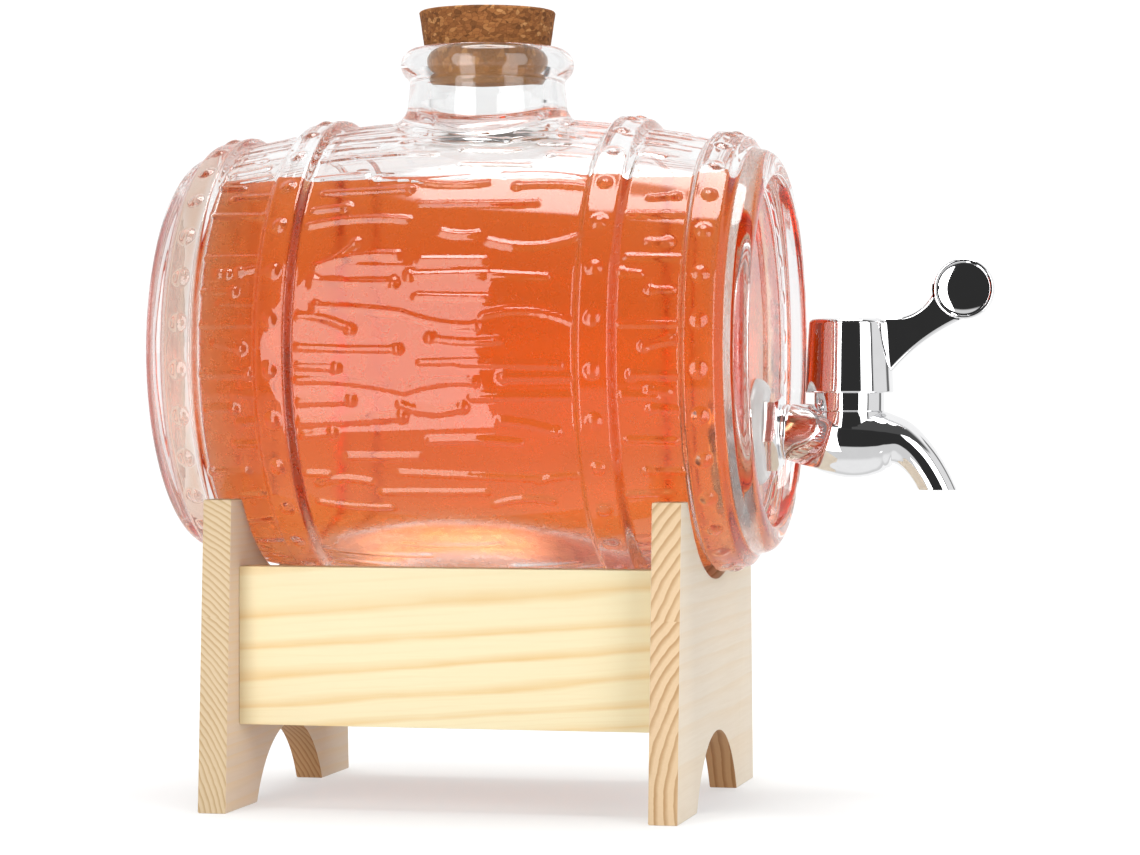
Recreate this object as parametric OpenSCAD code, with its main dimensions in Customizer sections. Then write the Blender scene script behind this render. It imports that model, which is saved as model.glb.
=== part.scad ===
// Glass barrel drinks dispenser on a wooden stand, in millimetres.
// X runs along the barrel towards the tap, Z is up, the floor is Z = 0.
// The origin is the middle of the bounding box at floor level.

/* [Barrel] */
// Height of the barrel axis above the floor
axis_z = 109; // [100:0.5:120]
// Outside radius at the middle of the barrel
body_r = 57.1; // [51:0.1:66]
// Radius of the long bulge curve of the staves
bulge_r = 290; // [250:5:450]
// Half of the barrel length, to the rims
body_half = 72.5; // [64:0.5:86]
// Glass thickness of the side wall
wall = 5; // [3.5:0.1:6.5]
// Depth of the recess in front of each head
recess_depth = 5.5; // [4.5:0.1:7]
// Glass thickness of the front head
head_thick = 3; // [2.5:0.1:5]
// Glass thickness of the rear head
rear_head_thick = 5.5; // [4:0.1:7]
// Glass thickness of the heavy base, at the middle of the barrel
base_thick = 19; // [14:0.5:22]
// Radius of the top of the base, which falls away towards both ends
base_curve_r = 140; // [110:5:200]
// Width of the rim between the recess and the outside
rim_width = 5.5; // [5:0.1:8]
// How much wider the recess is at the rim than at its floor
recess_draft = 1.2; // [0.5:0.1:2]
// Rounding of the rims
rim_round = 4.2; // [3:0.1:4.8]
// Rounding of the inside corners
inner_round = 7; // [4:0.5:10]

/* [Hoops] */
// Distance of the inner hoops from the rims
hoop_inner_inset = 34.1; // [30:0.1:38]
// Distance of the outer hoops from the rims
hoop_outer_inset = 10.2; // [9.5:0.1:12]
// Width of a hoop
hoop_width = 8.6; // [6:0.1:10]
// Height of a hoop above the staves
hoop_proud = 2.3; // [1.2:0.1:3]
// Chamfer along the hoop edges
hoop_chamfer = 0.8; // [0.3:0.1:1]

/* [Neck] */
// Height of the neck rim above the top of the barrel
neck_height = 17.1; // [14:0.1:24]
// Glass thickness of the neck at the cork's lower end
neck_wall = 5.15; // [4.2:0.05:6]
// Height of the flared foot of the neck above the barrel
flare_height = 3.5; // [2:0.1:6]
// Height of the whole cone of the flared foot, part of it inside the barrel wall
flare_reach = 10.6; // [9:0.1:12]
// How much wider the cone is at its lower end than the neck
flare_out = 4.5; // [2:0.1:7]
// How far the bead stands out from the neck
bead_proud = 2.2; // [1:0.1:3]
// Radius of the bead's round section
bead_r = 4.2; // [3:0.1:4.8]
// Distance of the bead's middle below the neck rim
bead_drop = 3.9; // [3:0.1:6]

/* [Cork] */
// Radius of the cork's lower end
cork_bottom_r = 13.9; // [11:0.1:16]
// How much larger the radius of the cork's upper end is
cork_flare = 2.9; // [1:0.1:4]
// Depth of the cork in the neck
cork_depth = 9.6; // [7:0.1:13]
// Height of the cork above the neck rim
cork_stand = 9.4; // [6:0.1:14]
// Chamfer of the cork's edges
cork_edge = 0.6; // [0.2:0.1:1.2]
// Gap between cork and neck
cork_gap = 0.05; // [0.02:0.01:0.3]

/* [Stand] */
// Thickness of the end boards
board_thick = 7; // [6:0.1:8]
// Height of the end boards
board_height = 73.7; // [66:0.1:80]
// Gap between a board and the outer hoop beside it
board_hoop_gap = 0.5; // [0.3:0.1:2]
// Width of the flat tops beside the cradle
cradle_land = 8.4; // [5:0.1:14]
// How much each side of a board widens towards the floor
board_splay = 4.5; // [0:0.1:10]
// Gap between the barrel and the cradle tips
cradle_gap = 0.15; // [0.05:0.05:0.5]
// Free height between the barrel and the lowest point of the cradle
cradle_drop = 2.33; // [1:0.01:6]
// Half width of the foot arch
arch_half = 27.5; // [20:0.5:34]
// Height of the foot arch
arch_height = 17; // [10:0.5:20]
// Free height between the barrel and the inner edges of the rails
rail_clear = 6.1; // [3:0.1:12]
// Height of a rail
rail_height = 37.6; // [26:0.1:40]
// How far the rails' outer faces lie inside the ends of the board tops
rail_inset = 5.7; // [3:0.1:10]
// Thickness of a rail
rail_thick = 7; // [6.6:0.1:10]
// Radius of a dowel
dowel_r = 3; // [2:0.1:3.2]
// Depth of a dowel in a board
dowel_in_board = 4.5; // [3:0.1:5.5]
// Depth of a dowel in a rail
dowel_in_rail = 14; // [8:0.5:20]
// Distance of the dowels from the upper and lower edge of a rail
dowel_inset = 9.3; // [6:0.1:12]

/* [Tap fitting] */
// Depth of the tap inlet below the barrel axis
tap_drop = 19.5; // [12:0.5:22]
// Outside radius of the shank
shank_r = 5; // [4.2:0.1:5.6]
// Wall of the shank tube
shank_wall = 1.8; // [1:0.1:2.2]
// Length of the shank inside the tap body
shank_grip = 6; // [4:0.1:7]
// How much larger the radius of the inner flange is than the shank's
flange_out = 5.5; // [4:0.1:7]
// Thickness of the inner flange
flange_thick = 2.2; // [1.5:0.1:3]
// Thickness of the gasket between flange and glass
inner_gasket_thick = 2.5; // [1.5:0.1:4]
// Thickness of the gasket sleeve in the hole of the glass
sleeve_thick = 1.95; // [1:0.05:3]
// Gap between the sleeve and the glass
gasket_gap = 0.05; // [0.02:0.01:0.2]
// Radius of the outer gasket
outer_gasket_r = 13; // [12:0.1:15]
// Thickness of the outer gasket
outer_gasket_thick = 2.9; // [2:0.1:2.9]
// Rounding of the outer gasket's dome
outer_gasket_round = 3; // [3:0.1:4]
// Width of the nut across its flats
nut_flats = 17; // [15:0.5:20]
// Thickness of the nut
nut_thick = 3.3; // [2.5:0.1:5]
// Turn of the nut on its thread, in degrees
nut_turn = 17; // [0:1:59]
// Wall of the lock ring round the shank
ring_wall = 1.7; // [1.2:0.1:3]
// Thickness of the lock ring
ring_thick = 1.8; // [1.2:0.1:3]

/* [Tap body] */
// Distance of the valve axis from the lock ring
valve_reach = 14.6; // [13.5:0.1:18]
// Wall of the inlet cone round the shank
inlet_wall = 1.9; // [1.5:0.1:2.5]
// How much wider the inlet cone is at the valve
inlet_flare = 1.6; // [0:0.1:2.5]
// Length of the inlet cone
inlet_length = 11; // [9:0.1:12]
// Tilt of the inlet cone, in degrees
inlet_tilt = 6.7; // [0:0.1:9]
// Depth of the bulb's middle below the tap inlet
bulb_drop = 2; // [1:0.1:3]
// How much larger the radius of the bulb is than the bonnet's
bulb_out = 0.5; // [0.2:0.1:1.5]
// Height of the seat of the bonnet above the tap inlet
body_top = 5; // [4:0.1:6]
// Depth of the valve passage below the tap inlet
passage_drop = 3.1; // [2.8:0.1:3.4]
// Radius of the valve passage
passage_r = 2.8; // [2:0.1:3]
// Depth of the flat mouth of the spout below the tap inlet
mouth_drop = 13.7; // [12:0.1:15]

/* [Valve] */
// Radius of the turning plug
plug_r = 5; // [4.6:0.1:5.6]
// Running gap round the plug and the stem
run_gap = 0.05; // [0.02:0.01:0.1]
// Gap at the ends of the plug
end_gap = 0.1; // [0.05:0.05:0.3]
// Depth of the plug's lower end below the tap inlet
plug_bottom = 9; // [8.8:0.1:9.4]
// Height of the plug's upper end above the tap inlet
plug_top = 1.5; // [1.4:0.1:2]
// Radius of the stem
stem_r = 3; // [2.5:0.1:3.4]
// How much the flat takes off the stem
stem_flat_cut = 0.9; // [0.5:0.1:1.2]
// Length of the stem inside the lever cap
stem_grip = 10.4; // [8:0.1:12]
// Distance of the lower O-ring from the plug's lower end
oring_lower = 1.5; // [1.2:0.1:1.8]
// Distance of the upper O-ring from the plug's upper end
oring_upper = 0.9; // [0.8:0.1:1]
// Depth of the O-ring grooves
groove_depth = 0.9; // [0.8:0.05:1.2]
// Half width of the O-ring grooves
groove_half = 0.55; // [0.5:0.01:0.6]
// Radius of the O-rings' round section
oring_wire_r = 0.46; // [0.4:0.01:0.46]
// Thickness of the thrust washer
washer_thick = 0.85; // [0.5:0.05:1.2]
// Outside radius of the bonnet
bonnet_r = 8.4; // [7.6:0.1:9.2]
// Height of the bonnet's collar
bonnet_height = 5.7; // [4.5:0.1:8]
// Wall between the plug chamber and the bonnet's socket
socket_wall = 1.5; // [1:0.1:1.7]

/* [Lever] */
// Gap between the bonnet and the skirt of the cap
skirt_gap = 0.8; // [0.4:0.1:1.2]
// Wall of the skirt
skirt_wall = 1.4; // [1:0.1:2.5]
// How far the skirt reaches over the bonnet
skirt_cover = 1.2; // [0.5:0.1:2.5]
// Gap between the bonnet and the cap's inner face
cap_clear = 1.4; // [0.5:0.1:2]
// Height of the cap
cap_height = 17.7; // [16:0.1:20]
// How much smaller the radius of the cap's top is than at its skirt
cap_draft = 0.9; // [0:0.1:2]
// Rounding of the cap's upper edge
cap_round = 1.3; // [0.5:0.1:2]
// Distance of the thumb disc from the valve axis
disc_out = 27.6; // [25:0.1:31]
// Height of the thumb disc above the tap inlet
disc_up = 34.25; // [33:0.05:37]
// Radius of the thumb disc
disc_r = 7.15; // [6.2:0.05:8]
// Thickness of the thumb disc
disc_thick = 4.6; // [4.2:0.1:6]
// Width of the rim round the dish
disc_rim = 1.1; // [0.6:0.1:2]
// Depth of the dish in each face of the thumb disc
dish_depth = 1; // [0.5:0.1:1.5]
// Thickness of the arm
arm_thick = 4; // [3:0.1:4.4]
// Width of the raised edges of the arm
arm_rim = 0.9; // [0.5:0.1:1.4]
// Depth of the pocket in each face of the arm
arm_pocket = 0.7; // [0.3:0.1:1.2]

/* [Hidden] */
$fn = 96;
eps = 0.01;
// small overlap that joins arcs which would only touch
lap = 0.02;

// Spout sections: x from the valve axis, z from the tap inlet, radius, slope in degrees
spout = [
    [6.2, -2.1, 8.0, 0],
    [11.4, -1.9, 5.7, 18],
    [15.6, -4.8, 4.6, 42],
    [19.3, -9.1, 4.3, 62],
    [22.5, -15.6, 4.3, 64]
];
// Bore of the spout: x, z, radius
spout_bore = [
    [2.4, -3.1, 2.9],
    [11.0, -2.5, 3.1],
    [15.8, -5.1, 3.2],
    [19.3, -9.1, 3.5],
    [22.8, -16.2, 3.5]
];
// Circles that hollow the upper and lower edge of the arm: x, z, radius
arm_upper = [10.8, 37.9, 10.5];
arm_lower = [47.2, -17.6, 49];

// Barrel
head_face = body_half - recess_depth;
head_in = head_face - head_thick;
rear_head_in = head_face - rear_head_thick;
base_top_z = base_thick - body_r;
recess_mouth_r = stave_r(body_half) - rim_width;
recess_r = recess_mouth_r - recess_draft;
hoop_x_inner = body_half - hoop_inner_inset;
hoop_x_outer = body_half - hoop_outer_inset;

// Neck and cork, heights above the barrel axis
neck_top_z = body_r + neck_height;
seat_r = cork_bottom_r + cork_gap;
neck_r = seat_r + neck_wall;
neck_root_z = body_r - wall - 5;
flare_top_z = body_r + flare_height;
bead_z = neck_top_z - bead_drop;
bead_out_r = neck_r + bead_proud;
cork_bottom_z = neck_top_z - cork_depth;
cork_top_z = neck_top_z + cork_stand;
cork_top_r = cork_bottom_r + cork_flare;
seat_taper = cork_flare / (cork_top_z - cork_bottom_z);

// Stand
board_out_x = hoop_x_outer - hoop_width / 2 - board_hoop_gap;
board_in_x = board_out_x - board_thick;
// half distance of the cradle tips, so that the barrel rests on them
cradle_half = sqrt(pow(stave_r(board_in_x) + cradle_gap, 2) - pow(axis_z - board_height, 2));
cradle_low_z = axis_z - stave_r(board_in_x) - cradle_drop;
board_top_half = cradle_half + cradle_land;
board_foot_half = board_top_half + board_splay;
rail_face_y = board_top_half - rail_inset;
rail_mid_y = rail_face_y - rail_thick / 2;
rail_top_z = axis_z - sqrt(pow(body_r, 2) - pow(rail_face_y - rail_thick, 2)) - rail_clear;
rail_bottom_z = rail_top_z - rail_height;
dowel_z = [rail_bottom_z + dowel_inset, rail_top_z - dowel_inset];

// Tap fitting, along the shank
shank_axis_z = axis_z - tap_drop;
shank_bore_r = shank_r - shank_wall;
flange_r = shank_r + flange_out;
flange_in = head_in - inner_gasket_thick - flange_thick;
glass_hole_r = shank_r + sleeve_thick + gasket_gap;
gasket_out_x = head_face + outer_gasket_thick;
nut_out_x = gasket_out_x + nut_thick;
ring_r = shank_r + ring_wall;
ring_out_x = nut_out_x + ring_thick;
shank_end = ring_out_x + shank_grip;
valve_x = ring_out_x + valve_reach;

// Valve and lever, heights above the tap inlet
inlet_r = shank_r + inlet_wall;
inlet_wide_r = inlet_r + inlet_flare;
bulb_r = bonnet_r + bulb_out;
chamber_r = plug_r + run_gap;
chamber_bottom_z = -plug_bottom - end_gap;
stem_hole_r = stem_r + run_gap;
stem_flat = stem_r - stem_flat_cut;
socket_r = plug_r + socket_wall;
socket_z = plug_top + washer_thick + end_gap;
oring_z = [oring_lower - plug_bottom, plug_top - oring_upper];
oring_groove_r = plug_r - groove_depth;
bonnet_top_z = body_top + bonnet_height;
cap_bottom_z = bonnet_top_z - skirt_cover;
cap_top_z = cap_bottom_z + cap_height;
cap_hollow_z = bonnet_top_z + cap_clear;
cap_hollow_r = bonnet_r + skirt_gap;
cap_bottom_r = cap_hollow_r + skirt_wall;
cap_top_r = cap_bottom_r - cap_draft;
stem_top_z = cap_hollow_z + stem_grip;

// Middle of the whole length, from the rear rim to the tip of the lever
lever_tip = valve_x + disc_out + disc_r;
mid_x = (body_half - lever_tip) / 2;

function stave_r(x) = body_r - bulge_r + sqrt(bulge_r * bulge_r - x * x);

function stave_slope(x) = asin(x / bulge_r);

// Placing helpers
module at_barrel() {
    translate([mid_x, 0, axis_z])
        children();
}

module lathe_x() {
    rotate([0, 90, 0])
        rotate_extrude()
            children();
}

module at_shank() {
    translate([mid_x, 0, shank_axis_z])
        lathe_x()
            children();
}

module at_valve() {
    translate([mid_x + valve_x, 0, shank_axis_z])
        children();
}

// Flat shapes of the barrel, radius along X and length along Y
module bulge_flat(r_mid, r_curve, half) {
    intersection() {
        translate([r_mid - r_curve, 0])
            circle(r = r_curve, $fn = 720);
        translate([0, -half])
            square([r_mid + 1, 2 * half]);
    }
}

module hoop_flat(x) {
    translate([stave_r(x), x])
        rotate(stave_slope(x))
            polygon([
                [-2, -hoop_width / 2],
                [hoop_proud - hoop_chamfer, -hoop_width / 2],
                [hoop_proud, hoop_chamfer - hoop_width / 2],
                [hoop_proud, hoop_width / 2 - hoop_chamfer],
                [hoop_proud - hoop_chamfer, hoop_width / 2],
                [-2, hoop_width / 2]
            ]);
}

// bulged bar with rounded ends, whose flat end faces lie at the given half length
module barrel_flat(r_mid, r_curve, half, r_end) {
    mid = half + lap - r_end;
    mid_r = r_mid - r_curve + sqrt(pow(r_curve - r_end, 2) - mid * mid) + lap;
    bulge_flat(r_mid, r_curve, mid + r_end * mid / (r_curve - r_end));
    for (side = [0, 1])
        mirror([0, side])
            translate([mid_r, mid])
                circle(r = r_end);
    translate([0, -half])
        square([mid_r, 2 * half]);
}

module recess_flat() {
    polygon([
        [-1, head_face],
        [recess_r, head_face],
        [recess_mouth_r, body_half + 1],
        [-1, body_half + 1]
    ]);
}

module left_half() {
    translate([-700, -400])
        square([700, 800]);
}

module outer_flat() {
    difference() {
        union() {
            barrel_flat(body_r, bulge_r, body_half - lap, rim_round);
            for (x = [-hoop_x_outer, -hoop_x_inner, hoop_x_inner, hoop_x_outer])
                hoop_flat(x);
        }
        recess_flat();
        mirror([0, 1])
            recess_flat();
        left_half();
    }
}

// inside of one end, from the middle of the barrel to the head
module inner_end_flat(head) {
    intersection() {
        barrel_flat(body_r - wall, bulge_r - wall, head, inner_round);
        translate([0, -lap])
            square([body_r, body_half + lap]);
    }
}

module inner_flat() {
    inner_end_flat(head_in);
    mirror([0, 1])
        inner_end_flat(rear_head_in);
}

module neck_flat() {
    translate([0, neck_root_z])
        square([neck_r, neck_top_z - neck_root_z]);
    translate([bead_out_r - bead_r, bead_z])
        circle(r = bead_r);
}

// Glass vessel
module cavity() {
    difference() {
        lathe_x()
            inner_flat();
        translate([0, 0, base_top_z - base_curve_r])
            rotate([90, 0, 0])
                cylinder(h = 2 * body_r, r = base_curve_r, center = true, $fn = 360);
    }
}

module glass_barrel() {
    seat_top = neck_top_z + 1;
    color([0.86, 0.92, 0.92, 0.35])
        at_barrel()
            difference() {
                union() {
                    lathe_x()
                        outer_flat();
                    rotate_extrude()
                        neck_flat();
                    translate([0, 0, flare_top_z - flare_reach])
                        cylinder(h = flare_reach, r1 = neck_r + flare_out, r2 = neck_r + lap);
                }
                cavity();
                cylinder(h = cork_bottom_z + eps, r = seat_r);
                translate([0, 0, cork_bottom_z])
                    cylinder(
                        h = seat_top - cork_bottom_z,
                        r1 = seat_r,
                        r2 = seat_r + seat_taper * (seat_top - cork_bottom_z)
                    );
                translate([head_in - 2, 0, -tap_drop])
                    rotate([0, 90, 0])
                        cylinder(h = head_thick + 6, r = glass_hole_r);
            }
}

module cork_stopper() {
    color([0.72, 0.50, 0.32])
        at_barrel()
            rotate_extrude()
                polygon([
                    [0, cork_bottom_z],
                    [cork_bottom_r - cork_edge, cork_bottom_z],
                    [cork_bottom_r + seat_taper * cork_edge, cork_bottom_z + cork_edge],
                    [cork_top_r - seat_taper * cork_edge, cork_top_z - cork_edge],
                    [cork_top_r - cork_edge, cork_top_z],
                    [0, cork_top_z]
                ]);
}

// Stand
module board_flat() {
    sink = board_height - cradle_low_z;
    cradle_r = (cradle_half * cradle_half + sink * sink) / (2 * sink);
    arch_r = (arch_half * arch_half + arch_height * arch_height) / (2 * arch_height);
    difference() {
        polygon([
            [-board_foot_half, 0],
            [board_foot_half, 0],
            [board_top_half, board_height],
            [-board_top_half, board_height]
        ]);
        translate([0, cradle_low_z + cradle_r])
            circle(r = cradle_r, $fn = 180);
        translate([0, arch_height - arch_r])
            circle(r = arch_r, $fn = 180);
    }
}

module board_at(x) {
    color([0.93, 0.83, 0.66])
        difference() {
            translate([mid_x + x, 0, 0])
                rotate([90, 0, 90])
                    linear_extrude(height = board_thick)
                        board_flat();
            dowel_set();
        }
}

module stand_front_board() {
    board_at(board_in_x);
}

module stand_rear_board() {
    board_at(-board_out_x);
}

module rail_at(y) {
    color([0.95, 0.86, 0.68])
        difference() {
            translate([mid_x - board_in_x, y - rail_thick / 2, rail_bottom_z])
                cube([2 * board_in_x, rail_thick, rail_height]);
            dowel_set();
        }
}

module stand_near_rail() {
    rail_at(-rail_mid_y);
}

module stand_far_rail() {
    rail_at(rail_mid_y);
}

module dowel_set() {
    for (side = [0, 1])
        for (y = [-rail_mid_y, rail_mid_y])
            for (z = dowel_z)
                translate([mid_x, 0, 0])
                    mirror([side, 0, 0])
                        translate([board_in_x - dowel_in_rail, y, z])
                            rotate([0, 90, 0])
                                cylinder(h = dowel_in_rail + dowel_in_board, r = dowel_r);
}

module stand_dowels() {
    color([0.80, 0.64, 0.42])
        dowel_set();
}

// Tap fitting in the front head
module tap_shank() {
    color([0.78, 0.79, 0.80])
        at_shank()
            difference() {
                union() {
                    translate([0, flange_in])
                        square([shank_r, shank_end - flange_in]);
                    translate([0, flange_in])
                        square([flange_r, flange_thick]);
                }
                translate([-1, flange_in - 1])
                    square([shank_bore_r + 1, shank_end - flange_in + 2]);
            }
}

module shank_inner_gasket() {
    color([0.90, 0.92, 0.92])
        at_shank()
            translate([shank_r, head_in - inner_gasket_thick])
                square([flange_r - shank_r, inner_gasket_thick]);
}

module shank_outer_gasket() {
    dome_r = outer_gasket_r - outer_gasket_round;
    color([0.93, 0.94, 0.95])
        at_shank() {
            translate([shank_r, head_in])
                square([sleeve_thick, head_thick + 1]);
            translate([shank_r, head_face])
                square([dome_r - shank_r, outer_gasket_thick]);
            intersection() {
                translate([dome_r, head_face])
                    circle(r = outer_gasket_round);
                translate([shank_r, head_face])
                    square([outer_gasket_r, outer_gasket_thick]);
            }
        }
}

module shank_hex_nut() {
    corner_r = nut_flats / sqrt(3);
    color([0.80, 0.81, 0.83])
        translate([mid_x + gasket_out_x, 0, shank_axis_z])
            rotate([0, 90, 0])
                difference() {
                    intersection() {
                        rotate([0, 0, nut_turn])
                            cylinder(h = nut_thick, r = corner_r, $fn = 6);
                        cylinder(h = nut_thick, r1 = corner_r + 3, r2 = nut_flats / 2 + 0.3);
                    }
                    translate([0, 0, -1])
                        cylinder(h = nut_thick + 2, r = shank_r);
                }
}

module tap_lock_ring() {
    edge = 0.4;
    color([0.80, 0.81, 0.83])
        at_shank()
            polygon([
                [shank_r, nut_out_x],
                [ring_r - edge, nut_out_x],
                [ring_r, nut_out_x + edge],
                [ring_r, ring_out_x - edge],
                [ring_r - edge, ring_out_x],
                [shank_r, ring_out_x]
            ]);
}

// Tap body
module spout_disc(s) {
    translate([s[0], 0, s[1]])
        rotate([0, 90 + s[3], 0])
            cylinder(h = 0.1, r = s[2], center = true, $fn = 36);
}

module bore_leg(a, b) {
    run = b[0] - a[0];
    fall = a[1] - b[1];
    translate([a[0], 0, a[1]])
        rotate([0, 90 + atan2(fall, run), 0])
            cylinder(h = sqrt(run * run + fall * fall), r1 = a[2], r2 = b[2]);
}

module tap_body() {
    color([0.82, 0.83, 0.85])
        at_valve()
            difference() {
                union() {
                    translate([-valve_reach, 0, 0])
                        rotate([0, 90 + inlet_tilt, 0])
                            translate([0, 0, -1])
                                cylinder(h = inlet_length + 1, r1 = inlet_r - 0.15, r2 = inlet_wide_r);
                    translate([0, 0, -bulb_drop])
                        sphere(r = bulb_r);
                    translate([0, 0, -bulb_drop])
                        cylinder(h = body_top + bulb_drop, r = bonnet_r - 0.2);
                    for (i = [0 : len(spout) - 2])
                        hull() {
                            spout_disc(spout[i]);
                            spout_disc(spout[i + 1]);
                        }
                    hull() {
                        spout_disc(spout[0]);
                        spout_disc([2, spout[0][1], bulb_r - 0.5, 0]);
                    }
                }
                // flat end towards the lock ring
                translate([-valve_reach - 10, -20, -20])
                    cube([10, 40, 40]);
                // flat mouth of the spout
                translate([0, -20, -mouth_drop - 20])
                    cube([40, 40, 20]);
                // seat of the bonnet
                translate([0, 0, body_top])
                    cylinder(h = 20, r = bonnet_r + 0.1);
                translate([0, 0, socket_z])
                    cylinder(h = 10, r = socket_r);
                translate([0, 0, chamber_bottom_z])
                    cylinder(h = 20, r = chamber_r);
                // shank thread and inlet passage
                translate([-valve_reach - 1, 0, 0])
                    rotate([0, 90, 0])
                        cylinder(h = shank_grip + 1, r = shank_r);
                bore_leg([shank_grip - valve_reach - 1, -0.4, passage_r], [0, -passage_drop, passage_r]);
                // spout passage
                for (i = [0 : len(spout_bore) - 2])
                    bore_leg(spout_bore[i], spout_bore[i + 1]);
                for (i = [1 : len(spout_bore) - 2])
                    translate([spout_bore[i][0], 0, spout_bore[i][1]])
                        sphere(r = spout_bore[i][2] + 0.04);
            }
}

module tap_bonnet() {
    edge = 0.4;
    color([0.80, 0.81, 0.83])
        at_valve()
            rotate_extrude()
                polygon([
                    [stem_hole_r, socket_z],
                    [socket_r, socket_z],
                    [socket_r, body_top],
                    [bonnet_r, body_top],
                    [bonnet_r, bonnet_top_z - edge],
                    [bonnet_r - edge, bonnet_top_z],
                    [stem_hole_r, bonnet_top_z]
                ]);
}

// Turning valve parts
module valve_plug() {
    color([0.85, 0.72, 0.45])
        at_valve()
            difference() {
                union() {
                    translate([0, 0, -plug_bottom])
                        cylinder(h = plug_top + plug_bottom, r = plug_r);
                    translate([0, 0, plug_top - 1])
                        cylinder(h = stem_top_z - plug_top + 1, r = stem_r);
                }
                for (z = oring_z)
                    translate([0, 0, z - groove_half])
                        difference() {
                            cylinder(h = 2 * groove_half, r = plug_r + 1);
                            translate([0, 0, -1])
                                cylinder(h = 2 * groove_half + 2, r = oring_groove_r);
                        }
                translate([0, 0, -passage_drop])
                    rotate([90, 0, 0])
                        cylinder(h = 4 * plug_r, r = passage_r, center = true);
                translate([stem_flat, -5, cap_hollow_z])
                    cube([5, 10, 20]);
            }
}

module plug_o_rings() {
    color([0.10, 0.10, 0.10])
        at_valve()
            for (z = oring_z)
                translate([0, 0, z])
                    rotate_extrude()
                        translate([oring_groove_r + oring_wire_r, 0])
                            circle(r = oring_wire_r, $fn = 32);
}

module plug_thrust_washer() {
    color([0.96, 0.96, 0.94])
        at_valve()
            rotate_extrude()
                translate([stem_r, plug_top])
                    square([plug_r - stem_r - 0.1, washer_thick]);
}

// Lever
module cap_flat() {
    difference() {
        union() {
            polygon([
                [0, cap_bottom_z],
                [cap_bottom_r - 0.5, cap_bottom_z],
                [cap_bottom_r, cap_bottom_z + 0.5],
                [cap_top_r, cap_top_z - cap_round],
                [0, cap_top_z - cap_round]
            ]);
            translate([cap_top_r - cap_round + 0.03, cap_top_z - cap_round])
                circle(r = cap_round);
            translate([0, cap_top_z - cap_round - 1])
                square([cap_top_r - cap_round, cap_round + 0.98]);
        }
        translate([-1, cap_bottom_z - 1])
            square([cap_hollow_r + 1, cap_hollow_z - cap_bottom_z + 1]);
        translate([-5, cap_bottom_z - 1])
            square([5, 40]);
    }
}

module arm_flat(inset) {
    difference() {
        polygon([
            [6, cap_hollow_z + 0.1],
            [6, cap_top_z - 0.2 - inset],
            [10, cap_top_z - 0.2 - inset],
            [arm_upper[0], arm_upper[1] - 6],
            [disc_out - 5, disc_up + 2],
            [disc_out, disc_up],
            [disc_out + 0.2, disc_up - disc_r + 0.4]
        ]);
        translate([arm_upper[0], arm_upper[1]])
            circle(r = arm_upper[2] + inset);
        translate([arm_lower[0], arm_lower[1]])
            circle(r = arm_lower[2] + inset, $fn = 240);
    }
}

module tap_lever() {
    dish_ball = (pow(disc_r - disc_rim, 2) + pow(dish_depth, 2)) / (2 * dish_depth);
    color([0.82, 0.83, 0.85])
        at_valve()
            difference() {
                union() {
                    rotate_extrude()
                        cap_flat();
                    rotate([90, 0, 0])
                        linear_extrude(height = arm_thick, center = true)
                            arm_flat(0);
                    translate([disc_out, 0, disc_up])
                        rotate([90, 0, 0])
                            cylinder(h = disc_thick, r = disc_r, center = true);
                }
                // D-shaped hole for the stem
                difference() {
                    translate([0, 0, cap_hollow_z - 1])
                        cylinder(h = stem_grip + 1, r = stem_r);
                    translate([stem_flat, -5, cap_hollow_z])
                        cube([5, 10, 20]);
                }
                // dished faces of the thumb disc
                for (side = [-1, 1])
                    translate([disc_out, side * (disc_thick / 2 + dish_ball - dish_depth), disc_up])
                        sphere(r = dish_ball);
                // pocketed faces of the arm
                for (side = [-1, 1])
                    translate([0, side * arm_thick / 2, 0])
                        rotate([90, 0, 0])
                            linear_extrude(height = 2 * arm_pocket, center = true)
                                difference() {
                                    arm_flat(arm_rim);
                                    square([2 * (cap_bottom_r + 0.8), 200], center = true);
                                    translate([disc_out, disc_up])
                                        circle(r = disc_r + 0.2);
                                }
            }
}

stand_front_board();
stand_rear_board();
stand_near_rail();
stand_far_rail();
stand_dowels();
glass_barrel();
cork_stopper();
tap_shank();
shank_inner_gasket();
shank_outer_gasket();
shank_hex_nut();
tap_lock_ring();
tap_body();
tap_bonnet();
valve_plug();
plug_o_rings();
plug_thrust_washer();
tap_lever();
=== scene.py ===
"""Glass barrel drinks dispenser on a pine stand: visual pieces, materials, light and camera.

Lengths in the code are millimetres in the barrel frame (x from the barrel middle, z from the barrel axis)
and are turned into metres in the model frame when a mesh is made. Materials and light use metres.
"""

from contextlib import contextmanager
import math

import bmesh
import bpy
import numpy as np
from mathutils import Matrix, Vector


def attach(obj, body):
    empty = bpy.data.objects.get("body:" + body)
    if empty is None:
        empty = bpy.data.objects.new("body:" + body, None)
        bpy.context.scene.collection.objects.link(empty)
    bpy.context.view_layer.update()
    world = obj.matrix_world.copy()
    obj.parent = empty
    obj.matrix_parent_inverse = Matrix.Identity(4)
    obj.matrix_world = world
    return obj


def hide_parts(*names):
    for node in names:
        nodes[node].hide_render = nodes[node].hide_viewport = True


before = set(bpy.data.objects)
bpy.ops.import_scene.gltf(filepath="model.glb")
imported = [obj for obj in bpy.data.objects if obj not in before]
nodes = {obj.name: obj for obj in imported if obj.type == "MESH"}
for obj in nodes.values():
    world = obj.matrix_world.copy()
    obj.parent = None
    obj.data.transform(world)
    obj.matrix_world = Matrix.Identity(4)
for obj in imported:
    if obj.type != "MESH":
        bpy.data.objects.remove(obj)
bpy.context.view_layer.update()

# Sizes, as in the solid model
MID_X = -25.925
AXIS_Z = 109.0
BODY_R = 57.1
BULGE_R = 290.0
BODY_HALF = 72.5
WALL = 5.0
HEAD_FACE = 67.0
HEAD_IN = 64.0
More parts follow.
